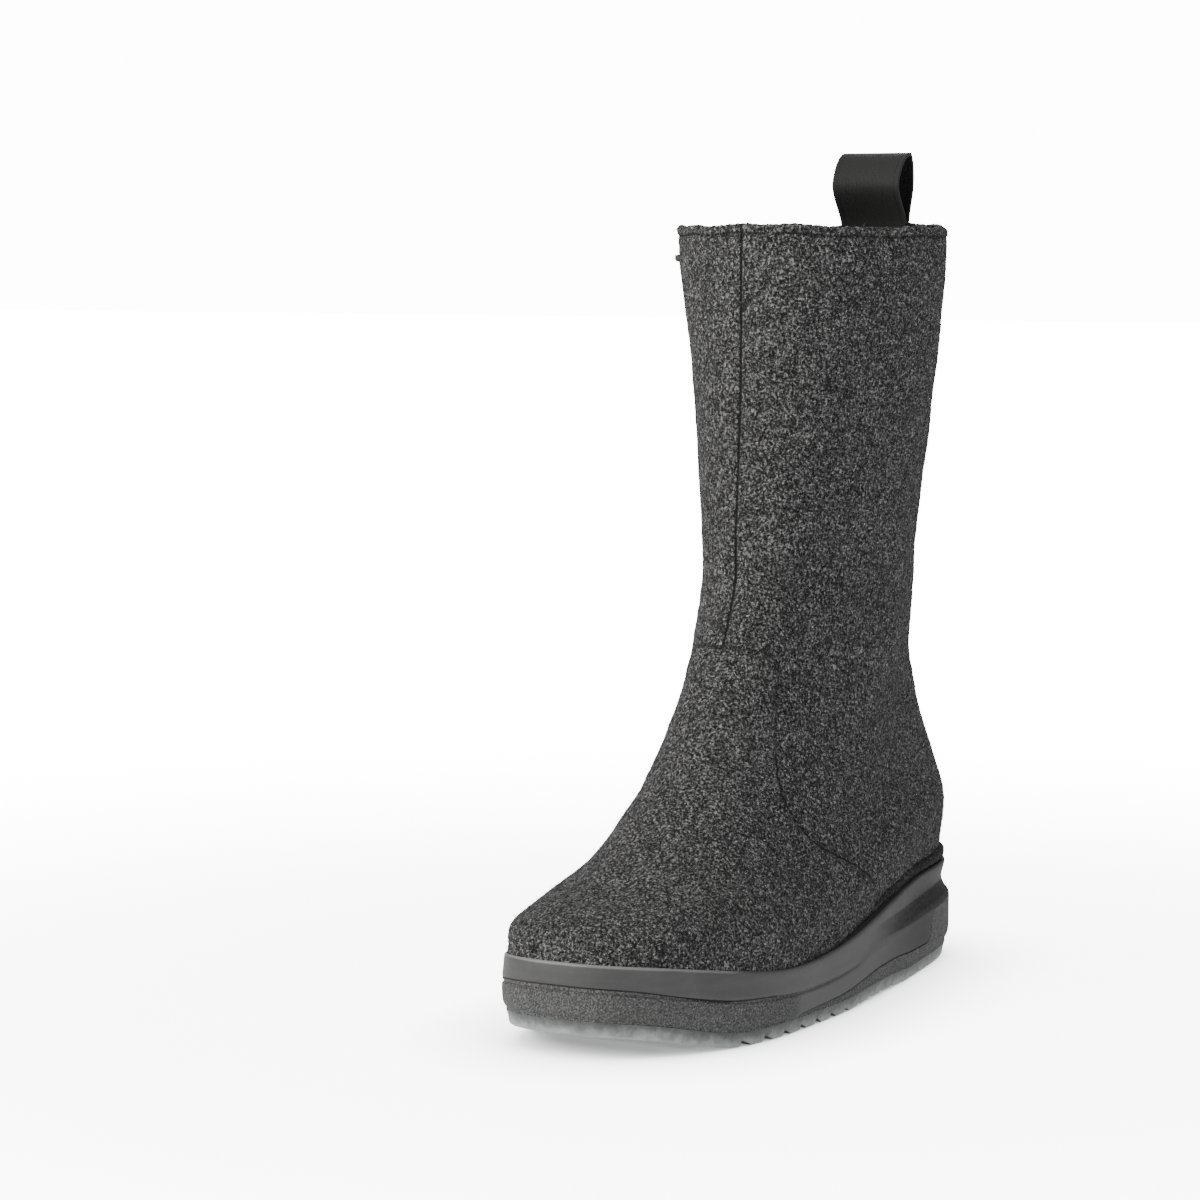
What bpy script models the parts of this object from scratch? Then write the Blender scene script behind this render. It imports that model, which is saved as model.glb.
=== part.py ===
"""Felt winter boot with a side zip, left foot, modelled empty and standing.

Units are metres. Frame: +Z up, toe towards -X, outer side of the foot towards -Y,
floor at z = 0, origin at the middle of the footprint.
"""

import math
from collections import namedtuple

import bmesh
import bpy
import numpy as np
from mathutils.bvhtree import BVHTree

# Sole sizes
SOLE_LENGTH = 0.276
BALL_WIDTH = 0.099
SOLE_ROUNDNESS = 0.68
TOE_TOP = 0.0355
BALL_TOP = 0.0250
HEEL_TOP = 0.0400
TOE_SPRING = 0.0085
ARCH_RISE = 0.0010
HEEL_BEVEL = 0.0012
TREAD_THICKNESS = 0.0056
TREAD_INSET = 0.0026
TREAD_DRAFT = 0.0012
CUP_WALL = 0.0042
CUP_FLOOR_BALL = 0.0068
CUP_FLOOR_HEEL = 0.0165
TOE_FLOOR_SPRING = 0.0051
GROOVE_DEPTH = 0.0007
HEEL_RECESS_DEPTH = 0.0032
LUG_GROOVE_WIDTH = 0.0040
LUG_GROOVE_DEPTH = 0.0026
LUG_GROOVE_DRAFT = 0.0006
LUG_PITCH = 0.0125
LUG_RIM = 0.0130
INSOLE_THICKNESS = 0.0042
INSOLE_EDGE = 0.0008

# Where the lug grooves run, as shares of SOLE_LENGTH from the toe. Past LUGS_OPEN they
# cut through the tread's edge.
LUGS_START = 0.10
LUGS_END = 0.955
LUGS_OPEN = 0.46

# Upper sizes
WALL = 0.0032
ANKLE_HEIGHT = 0.158
COLLAR_HEIGHT = 0.296
COLLAR_BACK_RISE = 0.0015
COLLAR_FRONT_RISE = 0.0012
ANKLE_WIDTH = 0.070
COLLAR_WIDTH = 0.102
HEM_HEIGHT = 0.0040
HEM_PROUD = 0.0004
WELT_PROUD_BALL = 0.0004
WELT_PROUD_HEEL = 0.0021
VAMP_PROUD = 0.0011
VAMP_BITE = 0.0010

# Front and back of the shaft, as shares of SOLE_LENGTH from the toe
ANKLE_FRONT = 0.4457
ANKLE_BACK = 0.9130
COLLAR_FRONT = 0.4674
COLLAR_BACK = 0.8877

# Zip sizes
ZIP_SLOT_WIDTH = 0.0095
ZIP_TAPE_WIDTH = 0.0260
ZIP_TAPE_THICKNESS = 0.0010
ZIP_TEETH_WIDTH = 0.0052
ZIP_TEETH_THICKNESS = 0.0016
ZIP_TOP_MARGIN = 0.0050
ZIP_END_HEIGHT = 0.0520
ZIP_TAPE_TAIL = 0.0060
SLIDER_LENGTH = 0.0110
SLIDER_WIDTH = 0.0080
SLIDER_THICKNESS = 0.0017
SLIDER_DROP = 0.0150
PULL_LENGTH = 0.0240
PULL_WIDTH = 0.0050
PULL_THICKNESS = 0.0012
PIN_DIAMETER = 0.0012
EYE_RADIUS = 0.0014
EAR_THICKNESS = 0.0010
EAR_LENGTH = 0.0024
PULL_WINDOW_WIDTH = 0.0022
PULL_WINDOW_LENGTH = 0.0050
PULL_WINDOW_DROP = 0.0190

# Pull loop sizes
LOOP_WIDTH = 0.0300
LOOP_RISE = 0.0295
LOOP_THICKNESS = 0.0014
LOOP_FRONT_BULGE = 0.0104
LOOP_BACK_BULGE = 0.0035
LOOP_TAIL = 0.0200
LOOP_SEAT = 0.0007
LOOP_SIDE = 0.0020
LOOP_UNBENT = 0.7

# Clearance between pieces that touch
GAP = 0.0003

# Mesh density
AROUND = 52
RINGS_BETWEEN = 2
ZIP_STEPS = 14
VAMP_STEPS = 32
LOOP_SAMPLES = 28
LOOP_STATIONS = 5
ROD_SIDES = 20

# How far a cutter reaches past what it cuts
REACH = 0.1

# The sole seen from above. Widths are half-widths as shares of BALL_WIDTH, along is a
# share of SOLE_LENGTH from the toe, and swing leans the middle line to the inner side.
Outline = namedtuple("Outline", "along outer inner swing")
SOLE_OUTLINE = (
    Outline(0.00, 0.540, 0.580, 0.036),
    Outline(0.12, 0.572, 0.560, 0.012),
    Outline(0.24, 0.560, 0.530, -0.006),
    Outline(0.36, 0.512, 0.495, -0.020),
    Outline(0.50, 0.470, 0.440, -0.030),
    Outline(0.65, 0.430, 0.390, -0.028),
    Outline(0.85, 0.425, 0.415, -0.004),
    Outline(1.00, 0.470, 0.470, 0.010),
)

# Rings of the foot. Places along are shares of SOLE_LENGTH from the toe, heights are
# shares of ANKLE_HEIGHT, and fore, mid and rear are half-widths as shares of BALL_WIDTH
# a quarter, a half and three quarters of the way back. follow is how much of the cup's
# top line the ring keeps.
Ring = namedtuple("Ring", "front_x front_z back_x back_z fore mid rear ends swing follow")
FOOT_RINGS = (
    Ring(0.015, 0.280, 0.985, 0.420, 0.534, 0.465, 0.434, 0.70, 0.030, 0.90),
    Ring(0.058, 0.322, 0.982, 0.510, 0.480, 0.430, 0.398, 0.78, 0.020, 0.60),
    Ring(0.125, 0.350, 0.967, 0.600, 0.425, 0.395, 0.346, 0.84, 0.005, 0.30),
    Ring(0.209, 0.425, 0.952, 0.690, 0.386, 0.374, 0.306, 0.90, 0.000, 0.12),
    Ring(0.303, 0.560, 0.938, 0.780, 0.350, 0.355, 0.289, 0.94, 0.000, 0.00),
    Ring(0.380, 0.740, 0.922, 0.880, 0.333, 0.350, 0.296, 0.97, 0.000, 0.00),
)

# Rings of the dark welt above the cup's rim, as shares of the way from the rim to the next
# ring: its foot, its lower edge, its upper edge and the place where it meets the felt.
WELT_SHARES = (0.0, 0.04, 0.34, 0.42)

# Rings of the shaft. rise runs from the ankle (0) to the collar (1), spread says how far
# the ring has gone from the ankle's front, back and width to the collar's, and lean moves
# it to the outer side, as a share of COLLAR_WIDTH.
Shaft = namedtuple("Shaft", "rise front back spread rear_share lean")
SHAFT_RINGS = (
    Shaft(0.00, 0.00, 0.00, 0.00, 0.86, 0.006),
    Shaft(0.18, 0.06, 0.26, 0.10, 0.90, 0.012),
    Shaft(0.42, 0.30, 0.50, 0.34, 0.95, 0.018),
    Shaft(0.70, 0.62, 0.76, 0.68, 1.00, 0.014),
    Shaft(0.90, 0.90, 0.92, 0.93, 1.00, 0.004),
    Shaft(1.00, 1.00, 1.00, 1.00, 1.00, 0.000),
)

# Lines of the cup's side, from its bottom edge to its top edge. ball, waist and heel are
# the line's height at those places as a share of the side's height, and the insets say
# how far inside the widest outline the line lies there.
CupLine = namedtuple("CupLine", "ball waist heel ball_inset waist_inset heel_inset")
CUP_LINES = (
    CupLine(0.000, 0.000, 0.000, 0.0026, 0.0026, 0.0030),
    CupLine(0.100, 0.100, 0.085, 0.0007, 0.0007, 0.0009),
    CupLine(0.250, 0.250, 0.180, 0.0001, 0.0001, 0.0001),
    CupLine(0.443, 0.480, 0.430, 0.0000, 0.0002, 0.0000),
    CupLine(0.500, 0.540, 0.590, GROOVE_DEPTH, 0.0003, 0.0001),
    CupLine(0.557, 0.640, 0.665, 0.0001, 0.0007, 0.0018),
    CupLine(0.720, 0.740, 0.780, 0.0004, 0.0009, HEEL_RECESS_DEPTH),
    CupLine(0.950, 0.950, 0.960, 0.0009, 0.0012, 0.0019),
    CupLine(1.000, 1.000, 1.000, 0.0016, 0.0018, 0.0024),
)

# The zip's middle line seen from the side: height as a share of COLLAR_HEIGHT, place
# along as a share of SOLE_LENGTH from the toe.
ZipPoint = namedtuple("ZipPoint", "height along")
ZIP_LINE = (
    ZipPoint(0.00, 0.484),
    ZipPoint(0.20, 0.486),
    ZipPoint(0.42, 0.512),
    ZipPoint(0.58, 0.562),
    ZipPoint(0.75, 0.592),
    ZipPoint(1.10, 0.626),
)

# The edge of the vamp panel seen from the side, from the front of the ankle to the sole:
# along as a share of SOLE_LENGTH from the toe, height as a share of ANKLE_HEIGHT.
VampPoint = namedtuple("VampPoint", "along height")
VAMP_EDGE = (
    VampPoint(0.300, 0.875),
    VampPoint(0.412, 0.872),
    VampPoint(0.440, 0.862),
    VampPoint(0.450, 0.830),
    VampPoint(0.441, 0.770),
    VampPoint(0.418, 0.660),
    VampPoint(0.397, 0.560),
    VampPoint(0.398, 0.470),
    VampPoint(0.427, 0.408),
    VampPoint(0.490, 0.350),
    VampPoint(0.545, 0.290),
    VampPoint(0.580, 0.210),
    VampPoint(0.600, 0.080),
)

# Material name, colour, roughness, metallic
MATERIALS = {
    "felt": ((0.055, 0.055, 0.058), 0.95, 0.0),
    "rubber": ((0.085, 0.085, 0.087), 0.55, 0.0),
    "tread_rubber": ((0.42, 0.44, 0.44), 0.50, 0.0),
    "insole_felt": ((0.16, 0.16, 0.165), 0.95, 0.0),
    "tape": ((0.018, 0.018, 0.019), 0.60, 0.0),
    "zip_metal": ((0.10, 0.10, 0.105), 0.40, 0.9),
}


def smooth_through(places, values, at):
    """Cubic curve through a table's points, without overshoot at its ends."""
    places = np.asarray(places, float)
    values = np.asarray(values, float)
    slopes = np.gradient(values, places, axis=0)
    i = int(np.clip(np.searchsorted(places, at, side="right") - 1, 0, len(places) - 2))
    span = places[i + 1] - places[i]
    t = min(max((at - places[i]) / span, 0.0), 1.0)
    start = (1 + 2 * t) * (1 - t) ** 2 * values[i] + t * (1 - t) ** 2 * span * slopes[i]
    end = t * t * (3 - 2 * t) * values[i + 1] - t * t * (1 - t) * span * slopes[i + 1]
    return start + end


def from_table(rows, column, at):
    """Value of one column of a table whose first column is the place."""
    return float(smooth_through([r[0] for r in rows], [getattr(r, column) for r in rows], at))


def ease(low, high, at):
    """0 below low, 1 above high, smooth between."""
    t = min(max((at - low) / (high - low), 0.0), 1.0)
    return t * t * (3 - 2 * t)


def x_at(along):
    """World x of a share of the sole's length, measured from the toe."""
    return (along - 0.5) * SOLE_LENGTH


def turns():
    """The places around a ring: 0 at the front, a half at the back, outer side first."""
    return np.arange(AROUND) / AROUND


def chord_share(turn):
    return (1 - math.cos(2 * math.pi * turn)) / 2


def sole_half_width(side, along):
    """Half-width of the sole at a share of its length, rounded off at toe and heel."""
    roundness = (4 * along * (1 - along)) ** (SOLE_ROUNDNESS / 2)
    return from_table(SOLE_OUTLINE, side, along) * BALL_WIDTH * roundness


def sole_loop():
    """The sole's widest outline from above, as points (x, y)."""
    points = []
    for turn in turns():
        along = chord_share(turn)
        side = "outer" if turn < 0.5 else "inner"
        sign = -1 if turn < 0.5 else 1
        middle = from_table(SOLE_OUTLINE, "swing", along) * BALL_WIDTH
        points.append((x_at(along), middle + sign * sole_half_width(side, along)))
    return np.array(points)


def inset_loop(loop, distances):
    """The loop moved inwards by a distance, or by one distance for each point."""
    tangent = np.roll(loop, -1, axis=0) - np.roll(loop, 1, axis=0)
    normal = np.stack([-tangent[:, 1], tangent[:, 0]], axis=1)
    normal /= np.linalg.norm(normal, axis=1, keepdims=True)
    return loop + normal * np.reshape(distances, (-1, 1))


def cup_top(along):
    """Height of the cup's top edge."""
    toe_to_ball = TOE_TOP + (BALL_TOP - TOE_TOP) * ease(-0.05, 0.32, along)
    return toe_to_ball + (HEEL_TOP - BALL_TOP) * ease(0.33, 0.80, along)


def ground(along):
    """Height of the tread's underside: toe spring, arch and the heel's worn edge."""
    toe = TOE_SPRING * (1 - ease(0.0, 0.20, along))
    arch = ARCH_RISE * ease(0.46, 0.56, along) * (1 - ease(0.62, 0.72, along))
    heel = HEEL_BEVEL * ease(0.95, 1.0, along)
    return toe + arch + heel


def cup_floor(along):
    """Height of the floor inside the cup, where the insole and the upper stand."""
    flat = CUP_FLOOR_BALL + (CUP_FLOOR_HEEL - CUP_FLOOR_BALL) * ease(0.35, 0.85, along)
    return flat + TREAD_THICKNESS + TOE_FLOOR_SPRING * (1 - ease(0.0, 0.20, along))


def lifted(loop, height):
    """A flat loop given heights by a function of the share along the sole."""
    along = loop[:, 0] / SOLE_LENGTH + 0.5
    along = np.clip(along, 0.0, 1.0)
    return np.column_stack([loop, [height(a) for a in along]])


def foot_ring(ring):
    """One closed ring of the foot from its row in FOOT_RINGS."""
    points = []
    for turn in turns():
        share = chord_share(turn)
        x = x_at(ring.front_x + (ring.back_x - ring.front_x) * share)
        z = (ring.front_z + (ring.back_z - ring.front_z) * share) * ANKLE_HEIGHT
        line = TOE_TOP + (HEEL_TOP - TOE_TOP) * share
        z += ring.follow * (cup_top(x / SOLE_LENGTH + 0.5) - line)
        width = smooth_through((0.25, 0.5, 0.75), (ring.fore, ring.mid, ring.rear), share)
        half = width * BALL_WIDTH * abs(math.sin(2 * math.pi * turn)) ** ring.ends
        middle = from_table(SOLE_OUTLINE, "swing", x / SOLE_LENGTH + 0.5) * BALL_WIDTH
        middle = middle * ring.follow + ring.swing * BALL_WIDTH * (1 - share) ** 2 * (1 - ring.follow)
        points.append((x, middle + (-half if turn < 0.5 else half), z))
    return np.array(points)


def shaft_ring(ring):
    """One closed ring of the shaft from its row in SHAFT_RINGS."""
    front = x_at(ANKLE_FRONT + (COLLAR_FRONT - ANKLE_FRONT) * ring.front)
    back = x_at(ANKLE_BACK + (COLLAR_BACK - ANKLE_BACK) * ring.back)
    half_width = (ANKLE_WIDTH + (COLLAR_WIDTH - ANKLE_WIDTH) * ring.spread) / 2
    height = ANKLE_HEIGHT + (COLLAR_HEIGHT - ANKLE_HEIGHT) * ring.rise
    points = []
    for turn in turns():
        share = chord_share(turn)
        x = front + (back - front) * share
        taper = 1 + (ring.rear_share - 1) * ease(0.35, 1.0, share)
        y = half_width * taper * math.sin(2 * math.pi * turn)
        z = height + COLLAR_BACK_RISE * ring.rise * ease(0.6, 1.0, share)
        z += COLLAR_FRONT_RISE * ring.rise * (1 - ease(0.0, 0.3, share))
        points.append((x, -y - ring.lean * COLLAR_WIDTH, z))
    return np.array(points)


def key_rings():
    """The rings that shape the upper, from the cup's floor to the collar."""
    feather = inset_loop(sole_loop(), CUP_WALL + GAP)
    low = lifted(feather, lambda along: cup_floor(along) + GAP)
    bite = lifted(feather, lambda along: cup_top(along) + GAP)
    rings = [low, bite]
    rings += [foot_ring(row) for row in FOOT_RINGS]
    rings += [shaft_ring(row) for row in SHAFT_RINGS]
    return np.array(rings)


def upper_grid():
    """The upper's outer surface as rings of points, with smooth rings between."""
    keys = key_rings()
    rings = [keys[0]]
    places = np.arange(1, len(keys))
    for i in range(1, len(keys) - 1):
        for step in range(RINGS_BETWEEN):
            rings.append(smooth_through(places, keys[1:], i + step / RINGS_BETWEEN))
    rings.append(keys[-1])
    return np.array(rings)


def with_edges(grid):
    """The outer grid with two steps: the welt over the cup's rim and the collar's hem."""
    alongs = grid[1, :, 0] / SOLE_LENGTH + 0.5
    proud = [
        WELT_PROUD_BALL + (WELT_PROUD_HEEL - WELT_PROUD_BALL) * ease(0.45, 0.90, along)
        for along in alongs
    ]
    out = grid_normals(grid)[1] * np.reshape(proud, (-1, 1))
    welt = [grid[1] + (grid[2] - grid[1]) * share for share in WELT_SHARES]
    welt[1] = welt[1] + out
    welt[2] = welt[2] + out
    below = grid[-1] - np.array([0, 0, HEM_HEIGHT])
    step = below - np.array([0, 0, HEM_PROUD])
    hem = [ring + grid_normals(grid)[-1] * HEM_PROUD for ring in (below, grid[-1])]
    return np.concatenate([grid[:1], welt, grid[2:-1], [step], hem])


def grid_normals(grid):
    """Outward unit normals of a grid of rings."""
    up = np.gradient(grid, axis=0)
    around = np.roll(grid, -1, axis=1) - np.roll(grid, 1, axis=1)
    normals = np.cross(around, up)
    normals[0, :, 2] = 0
    normals[1, :, 2] = 0
    return normals / np.linalg.norm(normals, axis=2, keepdims=True)


def offset_grid(offset):
    """The upper's surface moved out by an offset, or in by a negative one.

    The rings inside the cup are never moved out, so that they keep their gap to it.
    """
    grid = upper_grid()
    offsets = np.full(len(grid), offset)
    offsets[:2] = min(offset, -GAP)
    return grid + grid_normals(grid) * offsets[:, None, None] * (offset != 0)


def strip_faces(count, first, flip):
    """Faces that close a ring by strips across it, from its front to its back."""
    faces = []
    for i in range(count // 2):
        quad = [i, i + 1, (count - i - 1) % count, (count - i) % count]
        quad = [first + k for k in dict.fromkeys(quad)]
        if len(quad) > 2:
            faces.append(quad[::-1] if flip else quad)
    return faces


def new_object(name, verts, faces, material):
    """A mesh object with smooth shading and outward faces, in the boot's collection."""
    mesh = bpy.data.meshes.new(name)
    mesh.from_pydata([tuple(v) for v in verts], [], faces)
    bm = bmesh.new()
    bm.from_mesh(mesh)
    bmesh.ops.recalc_face_normals(bm, faces=bm.faces)
    bm.to_mesh(mesh)
    bm.free()
    mesh.shade_smooth()
    mesh.set_sharp_from_angle(angle=math.radians(35))
    obj = bpy.data.objects.new(name, mesh)
    parts_collection.objects.link(obj)
    if material:
        mesh.materials.append(material)
    return obj


def stack_faces(levels, count):
    """Side faces between consecutive rings of the same count."""
    faces = []
    for level in range(levels - 1):
        for i in range(count):
            j = (i + 1) % count
            low = level * count
            faces.append([low + i, low + j, low + count + j, low + count + i])
    return faces


def stacked_solid(name, rings, material):
    """A solid from a stack of rings whose first and last are closed by strips."""
    count = len(rings[0])
    faces = stack_faces(len(rings), count)
    faces += strip_faces(count, 0, True)
    faces += strip_faces(count, (len(rings) - 1) * count, False)
    return new_object(name, np.concatenate(rings), faces, material)


def shell_solid(name, outer, inner, material):
    """A tube-like shell between two grids of rings, joined at both rims."""
    count = outer.shape[1]
    rings = list(outer) + list(inner[::-1])
    faces = stack_faces(len(rings), count)
    last = (len(rings) - 1) * count
    for i in range(count):
        j = (i + 1) % count
        faces.append([last + i, last + j, j, i])
    return new_object(name, np.concatenate(rings), faces, material)


def side_prism(name, outline, y_low, y_high):
    """A cutter: an outline seen from the side, given as (x, z), pushed through along Y."""
    count = len(outline)
    low = [(x, y_low, z) for x, z in outline]
    high = [(x, y_high, z) for x, z in outline]
    faces = stack_faces(2, count)
    faces.append(list(range(count)))
    faces.append(list(range(2 * count - 1, count - 1, -1)))
    obj = new_object(name, low + high, faces, None)
    return as_cutter(obj)


def as_cutter(obj):
    """Moves a helper to the cutters' collection and hides it from renders."""
    parts_collection.objects.unlink(obj)
    cutters_collection.objects.link(obj)
    obj.hide_render = True
    obj.display_type = "WIRE"
    return obj


def add_boolean(obj, operation, other):
    modifier = obj.modifiers.new(operation.lower() + "_" + other.name, "BOOLEAN")
    modifier.operation = operation
    modifier.solver = "EXACT"
    modifier.object = other
    return modifier


def make_material(name):
    colour, roughness, metallic = MATERIALS[name]
    material = bpy.data.materials.new(name)
    material.use_nodes = True
    shader = material.node_tree.nodes["Principled BSDF"]
    shader.inputs["Base Color"].default_value = (*colour, 1.0)
    shader.inputs["Roughness"].default_value = roughness
    shader.inputs["Metallic"].default_value = metallic
    return material


def zip_x(height):
    """World x of the zip's middle line at a height."""
    return x_at(from_table(ZIP_LINE, "along", height / COLLAR_HEIGHT))


def zip_outline(half_width, low, high):
    """The zip's line seen from the side as a band of one width, as points (x, z)."""
    heights = np.linspace(low, high, ZIP_STEPS)
    middle = [zip_x(z) for z in heights]
    left = [(x - half_width, z) for x, z in zip(middle, heights)]
    right = [(x + half_width, z) for x, z in zip(middle, heights)]
    return left + right[::-1]


def vamp_outline():
    """The vamp panel seen from the side, as points (x, z)."""
    places = np.linspace(0, len(VAMP_EDGE) - 1, VAMP_STEPS)
    alongs = [p.along for p in VAMP_EDGE]
    heights = [p.height for p in VAMP_EDGE]
    rows = range(len(VAMP_EDGE))
    edge = [
        (x_at(smooth_through(rows, alongs, p)), smooth_through(rows, heights, p) * ANKLE_HEIGHT)
        for p in places
    ]
    toe = -REACH - SOLE_LENGTH / 2
    return edge + [(toe, edge[-1][1]), (toe, edge[0][1])]


def build_upper(felt):
    """The hollow felt upper with its vamp panel and its zip opening."""
    upper = shell_solid("upper", with_edges(upper_grid()), offset_grid(-WALL), felt)
    vamp = shell_solid("vamp_form", offset_grid(VAMP_PROUD), offset_grid(-VAMP_BITE), None)
    add_boolean(vamp, "INTERSECT", side_prism("vamp_cutter", vamp_outline(), -REACH, REACH))
    as_cutter(vamp)
    add_boolean(upper, "UNION", vamp)
    slot = zip_outline(ZIP_SLOT_WIDTH / 2, ZIP_END_HEIGHT, COLLAR_HEIGHT + REACH)
    add_boolean(upper, "DIFFERENCE", side_prism("zip_slot_cutter", slot, 0, REACH))
    return upper


def build_zip_strip(name, width, outer_offset, inner_offset, low, high, material):
    """A strip of the zip, cut between two larger forms of the upper."""
    strip = shell_solid(name, offset_grid(outer_offset), offset_grid(inner_offset), material)
    outline = zip_outline(width / 2, low, high)
    add_boolean(strip, "INTERSECT", side_prism(name + "_cutter", outline, 0, REACH))
    return strip


def along_side(at_ball, at_waist, at_heel, along):
    """A value of the cup's side that changes at the waist and again towards the heel."""
    to_waist = at_ball + (at_waist - at_ball) * ease(0.38, 0.54, along)
    return to_waist + (at_heel - at_waist) * ease(0.58, 0.82, along)


def cup_side_rings(widest):
    """The rings of the cup's outer side, from its bottom edge to its top edge."""
    alongs = np.clip(widest[:, 0] / SOLE_LENGTH + 0.5, 0, 1)
    rings = []
    for line in CUP_LINES:
        insets = [along_side(line.ball_inset, line.waist_inset, line.heel_inset, a) for a in alongs]
        heights = []
        for along in alongs:
            bottom = ground(along) + TREAD_THICKNESS
            share = along_side(line.ball, line.waist, line.heel, along)
            heights.append(bottom + share * (cup_top(along) - bottom))
        rings.append(np.column_stack([inset_loop(widest, insets), heights]))
    return rings


def build_cup(rubber):
    """The rubber cup that holds the foot of the upper."""
    widest = sole_loop()
    rings = cup_side_rings(widest)
    cavity = inset_loop(widest, CUP_WALL)
    rings.append(lifted(cavity, cup_top))
    rings.append(lifted(cavity, cup_floor))
    return stacked_solid("cup_sole", rings, rubber)


def lug_cutter(name, x, half_length):
    """A groove across the tread, seen from the side as a slot open at the floor."""
    wide = LUG_GROOVE_WIDTH / 2
    narrow = wide - LUG_GROOVE_DRAFT
    deep = ground(x / SOLE_LENGTH + 0.5) + LUG_GROOVE_DEPTH
    outline = [(x - wide, -REACH), (x - wide, 0), (x - narrow, deep)]
    outline += [(x + narrow, deep), (x + wide, 0), (x + wide, -REACH)]
    return side_prism(name, outline, -half_length, half_length)


def build_outsole(tread):
    """The pale tread under the cup, cut by its lug grooves."""
    widest = sole_loop()
    bottom = lifted(inset_loop(widest, TREAD_INSET + TREAD_DRAFT), ground)
    edge = lifted(inset_loop(widest, TREAD_INSET), lambda a: ground(a) + TREAD_DRAFT)
    top = lifted(inset_loop(widest, TREAD_INSET), lambda a: ground(a) + TREAD_THICKNESS - GAP)
    outsole = stacked_solid("outsole", [bottom, edge, top], tread)
    xs = np.arange(x_at(LUGS_START), x_at(LUGS_END), LUG_PITCH)
    for index, x in enumerate(xs):
        along = x / SOLE_LENGTH + 0.5
        half = BALL_WIDTH
        if along < LUGS_OPEN:
            half = sole_half_width("inner", along) - LUG_RIM
        add_boolean(outsole, "DIFFERENCE", lug_cutter(f"lug_cutter_{index:02d}", x, half))
    return outsole


def build_insole(felt):
    """The loose insole, lying on the cup's floor inside the upper."""
    inset = CUP_WALL + GAP + WALL + GAP
    loop = inset_loop(sole_loop(), inset)
    rounded = inset_loop(sole_loop(), inset + INSOLE_EDGE)
    bottom = lifted(loop, lambda a: cup_floor(a) + GAP)
    side = lifted(loop, lambda a: cup_floor(a) + GAP + INSOLE_THICKNESS - INSOLE_EDGE)
    top = lifted(rounded, lambda a: cup_floor(a) + GAP + INSOLE_THICKNESS)
    return stacked_solid("insole", [bottom, side, top], felt)


def tape_x(height):
    """World x of the middle of the loop's two layers where they lie on the back wall."""
    back = upper_grid()[:, AROUND // 2]
    return np.interp(height, back[:, 2], back[:, 0]) - WALL - LOOP_SEAT - LOOP_THICKNESS


def loop_sections():
    """The pull loop's outer and inner outlines seen from the side, as points (x, z)."""
    rim = COLLAR_HEIGHT + COLLAR_BACK_RISE
    middle = tape_x(rim)
    foot = tape_x(rim - LOOP_TAIL)
    outer = []
    for k in range(LOOP_SAMPLES):
        angle = 2 * math.pi * (k + 0.5) / LOOP_SAMPLES - math.pi / 2
        up = (1 + math.sin(angle)) / 2
        bulge = LOOP_BACK_BULGE if math.cos(angle) > 0 else LOOP_FRONT_BULGE
        reach = bulge * math.cos(angle) * ease(-0.15, 0.62, up)
        side = math.copysign(LOOP_THICKNESS, math.cos(angle)) * (1 - up)
        outer.append((middle + reach + side, rim + LOOP_RISE * up))
    outer = np.array(outer)
    inner = inset_loop(outer, LOOP_THICKNESS)
    across = inner[-2] - inner[1]
    inner[0] = inner[1] + across / 3
    inner[-1] = inner[1] + across * 2 / 3
    outer[0] = (foot + LOOP_THICKNESS, rim - LOOP_TAIL)
    outer[-1] = (foot - LOOP_THICKNESS, rim - LOOP_TAIL)
    return outer, inner


def build_loop(tape):
    """The tape loop: a teardrop of ribbon whose tail follows the collar's back wall."""
    outer, inner = loop_sections()
    count = len(outer)
    stations = np.linspace(-0.5, 0.5, LOOP_STATIONS)
    rim = COLLAR_HEIGHT + COLLAR_BACK_RISE
    depth = (COLLAR_BACK - COLLAR_FRONT) * SOLE_LENGTH / 2 - WALL
    half_width = COLLAR_WIDTH / 2 - WALL
    verts = []
    for outline in (outer, inner):
        for station in stations:
            y = station * LOOP_WIDTH - LOOP_SIDE
            bend = depth * (1 - math.sqrt(1 - (y / half_width) ** 2))
            for x, z in outline:
                hold = 1 - LOOP_UNBENT * ease(rim, rim + LOOP_RISE, z)
                verts.append((x - bend * hold, y, z))
    inside = count * len(stations)
    last = count * (len(stations) - 1)
    faces = []
    for i in range(count):
        j = (i + 1) % count
        for k in range(len(stations) - 1):
            low = k * count
            high = low + count
            faces.append([low + i, low + j, high + j, high + i])
            faces.append([inside + low + i, inside + high + i, inside + high + j, inside + low + j])
        faces.append([i, inside + i, inside + j, j])
        faces.append([last + i, last + j, inside + last + j, inside + last + i])
    return new_object("pull_loop", verts, faces, tape)


def upper_surface(x, z):
    """Point and outward normal of the upper's inner side at a place seen from that side."""
    grid = upper_grid()
    faces = stack_faces(len(grid), AROUND)
    tree = BVHTree.FromPolygons([tuple(v) for v in grid.reshape(-1, 3)], faces)
    point, normal, _, _ = tree.ray_cast((x, REACH, z), (0, -1, 0))
    normal = np.array(normal)
    return np.array(point), normal if normal[1] > 0 else -normal


def zip_frame():
    """Middle of the slider on the felt's surface, and the directions across, along, out."""
    height = COLLAR_HEIGHT - SLIDER_DROP
    point, out = upper_surface(zip_x(height), height)
    foot, _ = upper_surface(zip_x(height - SLIDER_LENGTH), height - SLIDER_LENGTH)
    along = point - foot
    along -= out * along.dot(out)
    along /= np.linalg.norm(along)
    return point, np.cross(along, out), along, out


def slider_top():
    """Height of the slider's outer face over the felt's surface."""
    return ZIP_TEETH_THICKNESS + GAP - WALL + SLIDER_THICKNESS


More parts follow.
